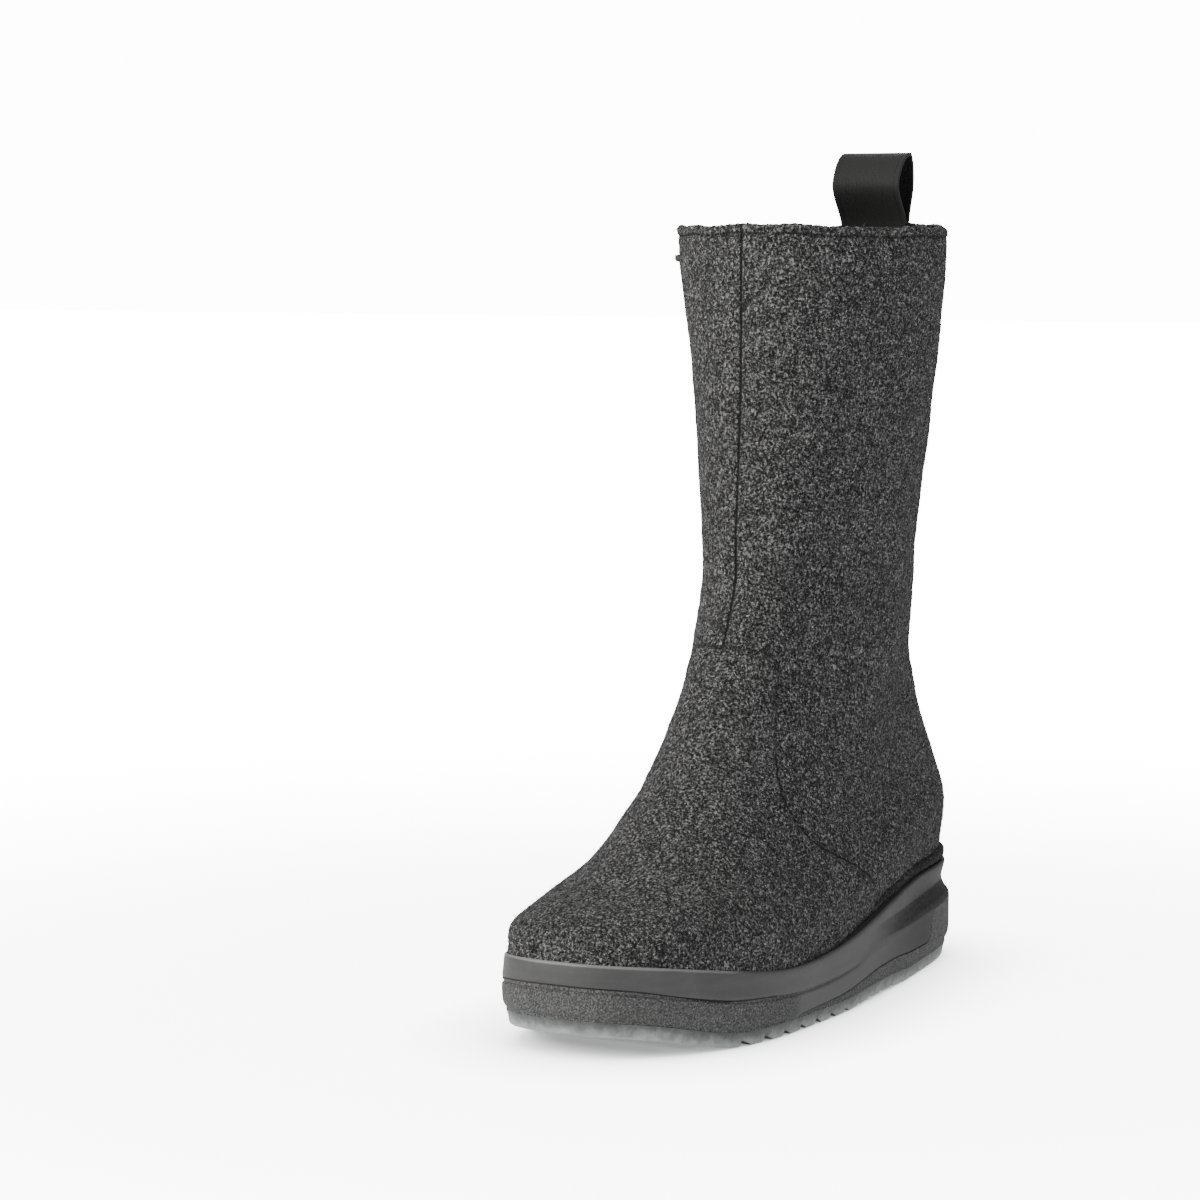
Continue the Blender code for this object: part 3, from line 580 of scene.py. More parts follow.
def vamp_distance(points):
    """How far inside the vamp panel's edge each point lies, seen from the side."""
    along, height = drawn_line(VAMP_EDGE)
    edge = np.column_stack([x_at(along), height * ANKLE_HEIGHT])
    flat = points.reshape(-1, 3)[:, [0, 2]]
    return side_distance(flat, edge).reshape(points.shape[:-1])


def crease_depth(points):
    """Depth of the listed creases at the felt's points."""
    x, y, z = points[..., 0], points[..., 1], points[..., 2]
    depth = np.zeros(points.shape[:-1])
    for crease in CREASES:
        turn = math.radians(crease.tilt)
        along = (x - crease.x) * math.cos(turn) + (z - crease.z) * math.sin(turn)
        across = (z - crease.z) * math.cos(turn) - (x - crease.x) * math.sin(turn)
        across = across + 0.12 * along**2 / crease.long
        fade = np.exp(-((along / crease.long) ** 2) - (across / crease.wide) ** 2)
        near = 1.0 if crease.side == 0 else ease(-0.012, 0.010, y * crease.side)
        depth += crease.depth * fade * near
    return depth


def add_object(name, data):
    obj = bpy.data.objects.new(name, data)
    bpy.context.scene.collection.objects.link(obj)
    return obj


def make_object(name, verts, faces, material, smooth_angle=40):
    mesh = bpy.data.meshes.new(name)
    mesh.from_pydata([tuple(v) for v in np.asarray(verts, float).tolist()], [], faces)
    bm = bmesh.new()
    bm.from_mesh(mesh)
    bmesh.ops.recalc_face_normals(bm, faces=bm.faces)
    bm.to_mesh(mesh)
    bm.free()
    mesh.shade_smooth()
    if smooth_angle:
        mesh.set_sharp_from_angle(angle=math.radians(smooth_angle))
    mesh.materials.append(material)
    return add_object(name, mesh)


def grid_faces(rows, count, skip=None):
    """Quads of a grid of rings; skip(row, column) leaves a face out."""
    faces = []
    for row in range(rows - 1):
        for i in range(count):
            if skip is not None and skip(row, i):
                continue
            j = (i + 1) % count
            low = row * count
            faces.append([low + i, low + j, low + count + j, low + count + i])
    return faces


def capped_stack(name, rings, material, smooth_angle):
    """A solid of stacked rings, closed straight across at both ends."""
    count = len(rings[0])
    faces = grid_faces(len(rings), count)
    for first in (0, (len(rings) - 1) * count):
        for i in range(count // 2):
            across = dict.fromkeys((i, i + 1, (count - i - 1) % count, (count - i) % count))
            if len(across) > 2:
                faces.append([first + k for k in across])
    return make_object(name, np.concatenate(rings), faces, material, smooth_angle)


def set_attribute(obj, name, values):
    """A number for each vertex, which a material reads by name."""
    attribute = obj.data.attributes.new(name, "FLOAT", "POINT")
    attribute.data.foreach_set("value", np.asarray(values, np.float32).reshape(-1))


# Materials


class Nodes:
    """Short calls that add and join a material's nodes."""

    def __init__(self, name):
        self.material = bpy.data.materials.new(name)
        self.material.use_nodes = True
        self.tree = self.material.node_tree
        self.shader = self.tree.nodes["Principled BSDF"]

    def add(self, kind, inputs=(), **settings):
        node = self.tree.nodes.new(kind)
        for key, value in settings.items():
            setattr(node, key, value)
        for key, value in dict(inputs).items():
            self.put(node.inputs[key], value)
        return node

    def put(self, socket, value):
        if isinstance(value, bpy.types.NodeSocket):
            self.tree.links.new(value, socket)
        elif isinstance(value, bpy.types.Node):
            self.tree.links.new(value.outputs[0], socket)
        else:
            socket.default_value = value

    def math(self, operation, a, b=0.0):
        return self.add("ShaderNodeMath", {0: a, 1: b}, operation=operation)

    def plus(self, a, b):
        return self.math("ADD", a, b)

    def minus(self, a, b):
        return self.math("SUBTRACT", a, b)

    def times(self, a, b):
        return self.math("MULTIPLY", a, b)

    def larger(self, a, b):
        return self.math("MAXIMUM", a, b)

    def smaller(self, a, b):
        return self.math("MINIMUM", a, b)

    def place(self):
        return self.add("ShaderNodeTexCoord").outputs["Object"]

    def stretched(self, scale, turn=(0, 0, 0)):
        return self.add(
            "ShaderNodeMapping", {"Vector": self.place(), "Scale": scale, "Rotation": turn}
        )

    def noise(self, vector, scale, detail=2.0, roughness=0.5):
        return self.add(
            "ShaderNodeTexNoise",
            {"Vector": vector, "Scale": scale, "Detail": detail, "Roughness": roughness},
        )

    def ramp(self, value, stops):
        node = self.add("ShaderNodeValToRGB", {"Fac": value})
        ramp = node.color_ramp
        while len(ramp.elements) < len(stops):
            ramp.elements.new(0.5)
        for element, (at, colour) in zip(ramp.elements, stops):
            element.position = at
            colour = colour if isinstance(colour, tuple) else (colour, colour, colour)
            element.color = (*colour, 1.0)
        return node

    def mix(self, fac, a, b):
        return self.add("ShaderNodeMix", {0: fac, 6: a, 7: b}, data_type="RGBA").outputs[2]

    def named(self, name):
        return self.add("ShaderNodeAttribute", attribute_name=name).outputs["Fac"]

    def span(self, value, low, high):
        """0 where the value is low, 1 where it is high; low may lie above high."""
        inputs = {"Value": value, "From Min": low, "From Max": high}
        return self.add("ShaderNodeMapRange", inputs, interpolation_type="SMOOTHSTEP")

    def line(self, value, half, soft):
        """1 on a line where the value is near 0, in the value's own unit."""
        return self.span(self.math("ABSOLUTE", value), half + soft, half)

    def bump(self, height, strength, distance, below=None):
        node = self.add(
            "ShaderNodeBump", {"Height": height, "Strength": strength, "Distance": distance}
        )
        if below is not None:
            self.put(node.inputs["Normal"], below)
        return node

    def set(self, **values):
        """Gives the shader's sockets, underscores for spaces, and returns the material."""
        for key, value in values.items():
            self.put(self.shader.inputs[key.replace("_", " ")], value)
        return self.material


def tone(colour, level):
    return tuple(c * level for c in colour) + (1,)


def felt_lines(n):
    """The lines and seams drawn on the felt, broken up as the wool covers them, over the painted shade
    that the dark attribute lays just above the cup's rim.
    """
    wander = n.minus(n.noise(n.place(), 420, 2.0, 0.6), 0.5)
    broken = n.span(n.noise(n.place(), 650, 2.0, 0.6), 0.34, 0.50)
    dashes = n.span(n.math("SINE", n.times(n.named("zip_run"), 2.1)), -0.5, 0.2)
    # the dark attribute is painted shade on the felt just above the cup's rim
    lines = n.named("dark")
    for row in FELT_LINES:
        line = n.line(n.plus(n.named(row.mark), n.times(wander, row.wander)), row.half, row.soft)
        gaps = dashes if row.mark == "zip_at" else broken
        line = n.times(line, n.plus(n.times(gaps, row.gaps), row.all))
        if row.mark == "vamp_at":
            line = n.times(line, n.named("vamp_on"))
        lines = n.larger(lines, line)
    return lines


def felt_material(name, dark=1.0, marked=False):
    """Pressed wool in charcoal heather: pale fibres over a mid grey with dark gaps."""
    n = Nodes(name)
    layers = [
        n.noise(n.stretched(scale, turn), density, 2.0, 0.65) for scale, turn, density in FELT_LAYERS
    ]
    fibres = n.larger(n.larger(layers[0], layers[1]), layers[2])
    gaps = n.smaller(n.smaller(layers[0], layers[1]), layers[2])
    clouds = n.noise(n.place(), 240, 3.0, 0.6)
    patches = n.noise(n.place(), 38, 3.0, 0.55)
    pale = n.span(n.plus(fibres, n.times(clouds, 0.12)), 0.575, 0.745)
    deep = n.span(n.plus(gaps, n.times(clouds, 0.10)), 0.50, 0.38)
    body = n.ramp(patches, [(0.30, 0.024 * dark), (0.70, 0.032 * dark)])
    colour = n.mix(pale, body, tone((0.270, 0.269, 0.267), dark))
    colour = n.mix(n.times(deep, 0.95), colour, tone((0.0020, 0.0020, 0.0022), dark))
    height = n.minus(pale, deep)
    if marked:
        lines = felt_lines(n)
        # seams, lines and the painted shade above the cup's rim go towards near black
        colour = n.mix(lines, colour, (0.0035, 0.0035, 0.0038, 1))
        height = n.minus(height, n.times(lines, 1.4))
    bump = n.bump(n.noise(n.place(), 520, 3.0, 0.65), 0.30, 0.0007)
    return n.set(
        Base_Color=colour,
        Roughness=0.96,
        Normal=n.bump(height, 0.95, 0.0008, bump),
        Specular_IOR_Level=0.12,
        Sheen_Weight=0.06,
        Sheen_Roughness=0.6,
        Sheen_Tint=(0.7, 0.7, 0.7, 1),
    )


def fuzz_material(name, low, high):
    """Single wool hairs, each with its own grey from the tone attribute."""
    n = Nodes(name)
    colour = n.ramp(n.named("tone"), [(0.0, low), (1.0, high)])
    return n.set(Base_Color=colour, Roughness=0.9, Specular_IOR_Level=0.2)


def rubber_material():
    """The cup's rubber: satin bands, pebbled where the attribute says, with fine grooves drawn dark as
    painted shade, and a painted highlight and paler wear along the rim.
    """
    n = Nodes("cup_rubber")
    uneven = n.times(n.noise(n.place(), 900, 2.0, 0.7), 0.35)
    pebble = n.span(n.plus(n.named("pebble"), uneven), 0.48, 0.90)
    recess = n.times(n.span(n.named("recess_at"), -0.10, 0.30), n.named("recess_on"))
    grain = n.add("ShaderNodeTexVoronoi", {"Vector": n.place(), "Scale": 1150.0})
    grain = grain.outputs["Distance"]
    smeared = n.noise(n.stretched((0.12, 0.12, 1.0)), 420, 4.0, 0.6)
    clouds = n.ramp(n.noise(n.place(), 36, 4.0, 0.6), [(0.30, 0.052), (0.70, 0.064)])
    plain = n.mix(n.span(smeared, 0.35, 0.68), clouds, (0.078, 0.078, 0.077, 1))
    plain = n.mix(n.named("shade"), n.mix(0.45, clouds, plain), (0.004, 0.004, 0.004, 1))
    speckle = n.noise(n.place(), 1500, 3.0, 0.75)
    colour = n.mix(pebble, plain, n.ramp(speckle, PEBBLE_COLOURS))
    hatch = n.noise(n.stretched((1.0, 1.0, 0.3), (0, 0.5, 0)), 1300, 2.0, 0.6)
    darker = n.ramp(hatch, [(0.35, 0.015), (0.65, 0.040)])
    colour = n.mix(recess, colour, darker)
    # painted shade: a near-black line drawn along the shallow grooves
    groove = n.times(n.line(n.named("groove_at"), 0.08, 0.26), n.named("groove_on"))
    colour = n.mix(n.times(groove, 0.88), colour, (0.0045, 0.0045, 0.0045, 1))
    # edge: painted highlight on the rim's top at the toe, and paler wear along the rest of the rim
    edge = n.span(n.plus(n.named("edge"), n.times(smeared, 0.6)), 0.70, 1.30)
    colour = n.mix(n.times(edge, 0.60), colour, (0.24, 0.24, 0.237, 1))
    dust = n.span(n.noise(n.place(), 70, 5.0, 0.7), 0.56, 0.78)
    colour = n.mix(n.times(dust, 0.12), colour, (0.16, 0.155, 0.15, 1))
    fine = n.bump(n.noise(n.place(), 1000, 2.0, 0.6), 0.10, 0.0003)
    bump = n.bump(n.times(grain, pebble), 0.85, 0.0007, fine)
    bump = n.bump(n.times(speckle, pebble), 0.6, 0.0006, bump)
    bump = n.bump(n.times(groove, -1.0), 0.8, 0.0004, bump)
    rough = n.plus(n.times(pebble, 0.22), n.times(n.plus(smeared, recess), 0.14))
    rough = n.plus(rough, 0.40)
    satin_shade = n.times(n.named("shade"), n.minus(1.0, pebble))
    gloss = n.minus(0.42, n.times(satin_shade, 0.74))
    return n.set(Base_Color=colour, Roughness=rough, Normal=bump, Specular_IOR_Level=gloss)


def tread_material():
    """Cloudy rubber that lets a little light through, with painted shade making it dark under the cup,
    and pale below.
    """
    n = Nodes("cloudy_tread")
    cloud = n.noise(n.place(), 260, 4.0, 0.65)
    level = n.plus(n.named("level"), n.times(n.minus(cloud, 0.5), 1.10))
    grains = n.noise(n.place(), 1400, 2.0, 0.7)
    return n.set(
        Base_Color=n.ramp(level, TREAD_COLOURS),
        Roughness=n.ramp(grains, [(0.35, 0.34), (0.65, 0.52)]),
        Normal=n.bump(grains, 0.30, 0.0004),
        Transmission_Weight=0.06,
        Subsurface_Weight=0.35,
        Subsurface_Radius=(0.0030, 0.0032, 0.0032),
    )


def hollow_material():
    """The tread's rubber deep in its grooves, near black as painted shade."""
    n = Nodes("tread_hollow")
    hollow_mottle = n.noise(n.place(), 700, 3.0, 0.6)
    return n.set(
        Base_Color=n.ramp(hollow_mottle, [(0.35, 0.004), (0.65, 0.014)]),
        Roughness=n.ramp(hollow_mottle, [(0.35, 0.60), (0.65, 0.80)]),
        Normal=n.bump(hollow_mottle, 0.3, 0.0003),
    )


def tape_material(name, level, edges):
    """Near-black woven tape with fine ribs along it and a thin selvedge line."""
    n = Nodes(name)
    ribs = n.add(
        "ShaderNodeTexWave",
        {"Vector": n.place(), "Scale": 520.0, "Distortion": 0.5, "Detail": 1.0},
        wave_type="BANDS",
        bands_direction="Y",
    ).outputs["Fac"]
    weft = n.noise(n.stretched((1, 0.35, 1)), 2600, 2.0, 0.6)
    colour = n.ramp(
        n.plus(n.times(ribs, 0.5), n.times(weft, 0.5)),
        [(0.25, level * 0.45), (0.55, level), (0.85, level * 1.9)],
    )
    if edges:
        y = n.add("ShaderNodeSeparateXYZ", {"Vector": n.place()}).outputs["Y"]
        off = n.math("ABSOLUTE", n.plus(y, LOOP_SIDE))
        line = n.line(n.minus(off, LOOP_WIDTH / 2 - 0.0022), 0.00015, 0.00025)
        colour = n.mix(n.times(line, 0.8), colour, tone((1, 1, 1), level * 0.3))
        rim = n.span(off, LOOP_WIDTH / 2 - 0.0010, LOOP_WIDTH / 2)
        colour = n.mix(n.times(rim, 0.5), colour, tone((1, 1, 1), level * 3.2))
    return n.set(
        Base_Color=colour,
        Roughness=n.ramp(weft, [(0.3, 0.58), (0.7, 0.74)]),
        Normal=n.bump(weft, 0.35, 0.0002, n.bump(ribs, 0.45, 0.0002)),
        Specular_IOR_Level=0.30,
        Sheen_Weight=0.05,
    )


def metal_material():
    n = Nodes("dark_zip_metal")
    worn = n.noise(n.place(), 900, 3.0, 0.6)
    colour = n.ramp(worn, [(0.3, 0.050), (0.7, 0.095)])
    return n.set(Base_Color=colour, Roughness=n.ramp(worn, [(0.3, 0.30), (0.7, 0.46)]), Metallic=0.9)


# Pieces


def row_lengths(row):
    """Length along a closed row from its first point, below 0 on the way back to it."""
    lengths = walked(closed(row))
    return np.where(lengths[:-1] < lengths[-1] / 2, lengths[:-1], lengths[:-1] - lengths[-1])


def slot_distance(row, first, last):
    """Distance of a row's points from the slot, along the row, 0 between its edges."""
    lengths = walked(closed(row))
    places = lengths[:-1]
    before = np.where(places <= lengths[first], lengths[first] - places, lengths[-1])
    after = np.where(places >= lengths[last], places - lengths[last], lengths[-1])
    wrapped = lengths[-1] - lengths[last] + places
    between = (places > lengths[first]) & (places < lengths[last])
    return np.where(between, 0.0, np.minimum(np.minimum(before, after), wrapped))


def on_line(distance, half):
    return np.exp(-((distance / half) ** 2))


def felt_rise(grid, draws, inside, over_rim, under_rim, from_slot, seam):
    """How far each point of the felt stands out: vamp, hem, seams, creases and uneven wool."""
    x, y, z = grid[..., 0], grid[..., 1], grid[..., 2]
    rise = VAMP_PROUD * ease(-0.0012, 0.0020, inside) * ease(0.0005, 0.0060, over_rim)
    fore = 1 - ease(0.32, 0.62, along_of(x))
    rise += BULGE_PROUD * on_line(over_rim, BULGE_TALL) * fore
    rise += HEM_PROUD * ease(HEM_LINE + 0.0006, HEM_LINE - 0.0008, under_rim)
    rise += 0.0004 * on_line(from_slot - 0.0016, 0.0013)
    rise -= 0.0004 * on_line(from_slot - ZIP_STITCH, 0.0009)
    rise -= 0.0005 * on_line(seam, 0.0010) * (inside < -0.0005)
    rise -= 0.0003 * on_line(inside + 0.0009, 0.0013) + 0.0003 * on_line(under_rim - HEM_LINE, 0.0008)
    rise -= crease_depth(grid) * ease(0.0, 0.010, over_rim) * ease(0.002, 0.010, from_slot)
    rise += 0.00024 * np.sin(x * 95 + z * 41) * np.sin(z * 63 - y * 57 + 1.3)
    rise += 0.00016 * np.sin(y * 170 + z * 118 + 0.7) * np.sin(x * 133 - z * 77)
    rough = draws.normal(size=rise.shape)
    rough[:, 0] = 0
    soft = rough + np.roll(rough, 1, axis=0) + np.roll(rough, 1, axis=1) + np.roll(rough, -1, axis=1)
    return rise + 0.00006 * rough + 0.00003 * soft


def slot_lips(stack, columns, base):
    """Points and faces that turn the felt's edges inward along the zip's opening."""
    rows = [r for r in range(len(stack)) if stack[r, columns[0], 2] > ZIP_END_HEIGHT - 0.001]
    normals = grid_normals(stack)
    lips = []
    for column, toward in zip(columns, (1, -1)):
        edge = stack[rows, column]
        into = -normals[rows, column]
        across = unit(stack[rows, column + toward] - edge)
        lips += [edge + into * sink + across * slide for sink, slide in LIP_STEPS]
    faces = []
    for lip in range(len(lips)):
        if (lip + 1) % len(LIP_STEPS):
            for a in range(base + lip * len(rows), base + (lip + 1) * len(rows) - 1):
                faces.append([a, a + 1, a + len(rows) + 1, a + len(rows)])
    return lips, faces


def build_felt(material):
    """The felt upper's outer skin with vamp step, creases, front seam, hem, rim and zip lips."""
    dense = felt_rows(np.linspace(RIM_PLACE, HEM_PLACE, FELT_ROWS))
    columns, first, last = slotted_columns(dense, FELT_AROUND)
    grid = warped_rows(dense, columns, ZIP_SLOT_WIDTH / 2)
    normals = grid_normals(grid)
    x, z = grid[..., 0], grid[..., 2]
    over_rim = z - cup_top(along_of(x))
    share = chord_share(columns)
    rim_rise = COLLAR_BACK_RISE * ease(0.6, 1.0, share)
    rim_rise = rim_rise + COLLAR_FRONT_RISE * (1 - ease(0.0, 0.3, share))
    under_rim = COLLAR_HEIGHT + rim_rise[None, :] - z
    inside = vamp_distance(grid)
    seam = np.array([row_lengths(row) for row in grid])
    beside = np.array([slot_distance(row, first, last) for row in grid])
    below_slot = np.maximum(ZIP_END_HEIGHT - z, 0)
    from_slot = np.hypot(beside, below_slot)
    draws = np.random.default_rng(FELT_SEED)
    rise = felt_rise(grid, draws, inside, over_rim, under_rim, from_slot, seam)
    sunk = grid[0] - np.array([0, 0, 0.004])
    grid = grid + normals * rise[..., None]
    sway = 0.0004 * np.sin(2 * np.pi * 5 * columns + 0.6)
    sway = sway + 0.0003 * np.sin(2 * np.pi * 13 * columns + 2.0)
    sway = sway + 0.00016 * draws.normal(size=len(columns))
    grid[..., 2] += sway[None, :] * ease(0.010, 0.0, under_rim)
    rim = []
    for inward, up in HEM_STEPS:
        ring = grid[-1] - normals[-1] * (inward + HEM_PROUD * 0.5)
        rim.append(ring + np.array([0, 0, up]))
    stack = np.concatenate([[sunk], grid, rim])
    faces = grid_faces(len(stack), len(columns), in_slot(stack, first, last))
    base = stack.shape[0] * stack.shape[1]
    lips, lip_faces = slot_lips(stack, (first, last), base)
    verts = np.concatenate([stack.reshape(-1, 3)] + lips)
    obj = make_object("felt_upper", verts, faces + lip_faces, material, 50)
    marked = {
        "seam_at": np.where(inside < -0.0005, seam * MM, FAR),
        "vamp_at": np.where(over_rim > 0.0045, np.clip(inside * MM, -FAR, FAR), FAR),
        "hem_at": (under_rim - HEM_LINE) * MM,
        "zip_at": (from_slot - ZIP_STITCH) * MM,
        "zip_run": (z + 0.6 * below_slot) * MM,
        "vamp_on": 0.50 + 0.20 * ease(0.118, 0.128, z) + 0.60 * ease(0.104, 0.092, z),
        # dark: painted shade on the felt just above the cup's rim, from the waist to the heel
        "dark": 0.85 * ease(0.0032, 0.0010, over_rim) * ease(0.20, 0.40, along_of(x)),
    }
    for name, values in marked.items():
        value = np.full(len(verts), 0.0 if name == "dark" else FAR)
        value[:base] = np.concatenate([values[:1], values, [values[-1]] * len(rim)]).reshape(-1)
        set_attribute(obj, name, value)
    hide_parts("upper")
    skin = np.concatenate([grid, rim])
    free = np.ones(skin.shape[:2], bool)
    free[:, first - 1:last + 1] = skin[:, first - 1:last + 1, 2] < ZIP_END_HEIGHT
    return obj, skin, free


def hair_mesh(name, roots, ways, bends, lengths, radii, tones, levels, material):
    """Many tapering hairs in one mesh. Each bends as it leaves its root."""
    side = unit(np.cross(ways, np.roll(ways, 1, axis=1) + 0.123))
    other = np.cross(ways, side)
    rings = []
    for level in range(levels):
        share = level / levels
        middle = roots + ways * (lengths * share)[:, None] + bends * (lengths * share**2)[:, None]
        radius = (radii * (1 - 0.6 * share))[:, None]
        for corner in range(3):
            turn = 2 * math.pi * corner / 3
            rings.append(middle + radius * (side * math.cos(turn) + other * math.sin(turn)))
    rings.append(roots + (ways + bends) * lengths[:, None])
    each = 3 * levels + 1
    verts = np.stack(rings, axis=1).reshape(-1, 3)
    first = np.arange(len(roots)) * each
    faces = []
    for level in range(levels - 1):
        for corner in range(3):
            a = first + 3 * level + corner
            b = first + 3 * level + (corner + 1) % 3
            faces += np.column_stack([a, b, b + 3, a + 3]).tolist()
    for corner in range(3):
        a = first + 3 * (levels - 1) + corner
        b = first + 3 * (levels - 1) + (corner + 1) % 3
        faces += np.column_stack([a, b, first + 3 * levels]).tolist()
    mesh = bpy.data.meshes.new(name)
    mesh.from_pydata(verts.tolist(), [], faces)
    mesh.shade_smooth()
    mesh.materials.append(material)
    obj = add_object(name, mesh)
    set_attribute(obj, "tone", np.repeat(tones, each))
    return obj


def build_fuzz(name, skin, free, material, hairs):
    """Wool hairs standing up from the felt, shared out by the area of its faces."""
    count = hairs.count
    draws = np.random.default_rng(hairs.seed)
    normals = grid_normals(skin)
    up = skin[1:] - skin[:-1]
    around = np.roll(skin, -1, axis=1)[:-1] - skin[:-1]
    area = np.linalg.norm(np.cross(up, around), axis=2) * free[:-1]
    area = area.reshape(-1) / area.sum()
    chosen = draws.choice(len(area), size=count, p=area)
    row, column = chosen // skin.shape[1], chosen % skin.shape[1]
    a, b = draws.random(count)[:, None], draws.random(count)[:, None]
    after = (column + 1) % skin.shape[1]
    roots = (skin[row, column] * (1 - a) + skin[row + 1, column] * a) * (1 - b)
    roots += (skin[row, after] * (1 - a) + skin[row + 1, after] * a) * b
    normal = normals[row, column]
    flat = unit(np.cross(normal, draws.normal(size=(count, 3))))
    rise = draws.uniform(*hairs.lift, count)[:, None]
    ways = unit(normal * rise + flat * (1 - rise))
    bends = draws.normal(size=(count, 3)) * 0.30 - normal * 0.25 * draws.random(count)[:, None]
    lengths = draws.uniform(*hairs.long, count)
    radii = draws.uniform(*hairs.thick, count)
    tones = draws.random(count) ** 1.6
    roots -= normal * 0.0002
    return hair_mesh(name, roots, ways, bends, lengths, radii, tones, hairs.levels, material)


def build_lining(material):
    """The felt's inner side, down to the insole."""
    dense = felt_rows(np.linspace(RIM_PLACE, COLLAR_PLACE, LINING_ROWS))
    floor = inset_loop(sole_loop(DENSE), CUP_WALL + GAP)
    low = lifted(floor, lambda a: cup_floor(a) + GAP)
    columns, first, last = slotted_columns(dense, LINING_AROUND)
    grid = warped_rows(dense, columns, ZIP_SLOT_WIDTH / 2)
    low = warped_rows(np.array([low, low]), columns, ZIP_SLOT_WIDTH / 2)[:1]
    grid = np.concatenate([low, grid])
    normals = grid_normals(grid)
    normals[0, :, 2] = 0
    grid = grid - normals * WALL
    faces = grid_faces(len(grid), len(columns), in_slot(grid, first, last))
    return make_object("felt_lining", grid.reshape(-1, 3), faces, material)


def build_welt(material):
    """The band between the felt and the cup's rim, in the felt darkened as painted shade of the gap
    there.
    """
    turn = np.arange(DENSE + 1) / DENSE
    dense = felt_rows(np.array([RIM_PLACE, RIM_PLACE + 0.5]))
    low, high = (sampled(even_turns(FELT_AROUND), turn, closed(row)) for row in dense)
    out = grid_normals(np.array([low, high]))[0]
    out[:, 2] = 0
    out = unit(out)
    along = along_of(low[:, 0])
    proud = WELT_PROUD_BALL * ease(0.24, 0.40, along)
    proud += (WELT_PROUD_HEEL - WELT_PROUD_BALL) * ease(0.40, 0.92, along)
    stack = [low + (high - low) * share + out * (proud * reach)[:, None] for share, reach in WELT_PROFILE]
    faces = grid_faces(len(stack), FELT_AROUND)
    return make_object("felt_welt", np.concatenate(stack), faces, material)


def cup_value(line_values, along):
    ball, waist, heel = line_values
    to_waist = ball + (waist - ball) * ease(0.38, 0.54, along)
    return to_waist + (heel - waist) * ease(0.58, 0.82, along)


def cup_marks(along, shares, tall):
    """Where the cup's grooves, recess, pebbles, painted highlight, wear and painted shade lie on its
    side.
    """
    along_grid = np.broadcast_to(along, shares.shape)
    toe_line = from_table(TOE_GROOVE, "height", np.minimum(along, TOE_GROOVE[-1].along))
    up = (shares - toe_line) * tall * MM
    line_along, line_height = drawn_line(WING_GROOVE)
    even = np.linspace(0, 1, RIM_POINTS)
    line_tall = np.interp(line_along, even, cup_top(even)) - ground(line_along) - TREAD_THICKNESS
    edge = np.column_stack([line_along * SOLE_LENGTH, line_height * line_tall]) * MM
    flat = np.column_stack([(along_grid * SOLE_LENGTH).reshape(-1), (shares * tall).reshape(-1)]) * MM
    wing = -side_distance(flat, edge).reshape(shares.shape)
    at_toe = along_grid < 0.281
    toe_end = 1 - ease(0.235, 0.264, along_grid)
    wing_ends = ease(0.300, 0.345, along_grid) * (shares < 0.42) * (along_grid < 0.83)
    low = (shares - from_table(RECESS_LOW, "height", along)) * tall * MM
    high = (from_table(RECESS_HIGH, "height", along) - shares) * tall * MM
    toe_pebble = ease(0.1, -0.3, up) * (1 - ease(0.23, 0.36, along_grid))
    wing_pebble = ease(0.1, -0.3, wing) * ease(0.29, 0.33, along_grid)
    heel_pebble = np.maximum(wing_pebble, ease(0.815, 0.825, along_grid)) * ease(0.1, -0.3, low)
    # painted highlight along the rim's top at the toe; worn is paler wear all round the rim
    painted_toe_highlight = ease(0.92, 0.985, shares) * (1 - ease(0.10, 0.30, along_grid))
    worn = 0.35 * ease(0.93, 1.0, shares)
    return {
        "groove_at": np.where(at_toe, up, wing),
        "groove_on": np.where(at_toe, toe_end, wing_ends),
        "recess_at": np.minimum(low, high),
        "recess_on": ease(0.52, 0.68, along_grid),
        "pebble": np.maximum(toe_pebble, heel_pebble),
        "edge": np.maximum(painted_toe_highlight, worn) * (1 - 0.8 * ease(0.45, 0.75, along_grid)),
        "shade": 0.14 * ease(0.28, 0.10, along_grid) + 0.50 * ease(0.38, 0.78, along_grid),
    }


def build_cup(material):
    """The rubber cup's side at full detail, with its rolled rim and its inside."""
    widest = sole_loop(CUP_AROUND)
    along = along_of(widest[:, 0])
    rows = np.arange(len(CUP_LINES))
    levels = np.linspace(0, len(CUP_LINES) - 1, CUP_LEVELS)
    shares = smooth(rows, [cup_value(line[:3], along) for line in CUP_LINES], levels)
    insets = smooth(rows, [cup_value(line[3:], along) for line in CUP_LINES], levels)
    bottom = ground(along) + TREAD_THICKNESS
    tall = cup_top(along) - bottom
    marks = cup_marks(along, shares, tall)
    insets = np.where(shares < 0.1, np.minimum(insets, TREAD_INSET - TREAD_FLARE), insets)
    insets = insets + 0.0002 * on_line(marks["groove_at"], 0.45) * marks["groove_on"]
    rings = [
        np.column_stack([inset_loop(widest, inset), bottom + share * tall])
        for share, inset in zip(shares, insets)
    ]
    base = lifted(inset_loop(widest, TREAD_INSET + 0.003), lambda a: ground(a) + TREAD_THICKNESS)
    cavity = inset_loop(widest, CUP_WALL)
    inner = [lifted(cavity, lambda a: cup_top(a) - drop) for drop in (0.0, 0.004)]
    stack = np.array([base] + rings + inner)
    faces = grid_faces(len(stack), CUP_AROUND)
    obj = make_object("rubber_cup", stack.reshape(-1, 3), faces, material, 50)
    nothing = np.zeros((1, CUP_AROUND))
    for name, values in marks.items():
        set_attribute(obj, name, np.concatenate([nothing, values, nothing, nothing]))
    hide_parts("cup_sole")
    return obj


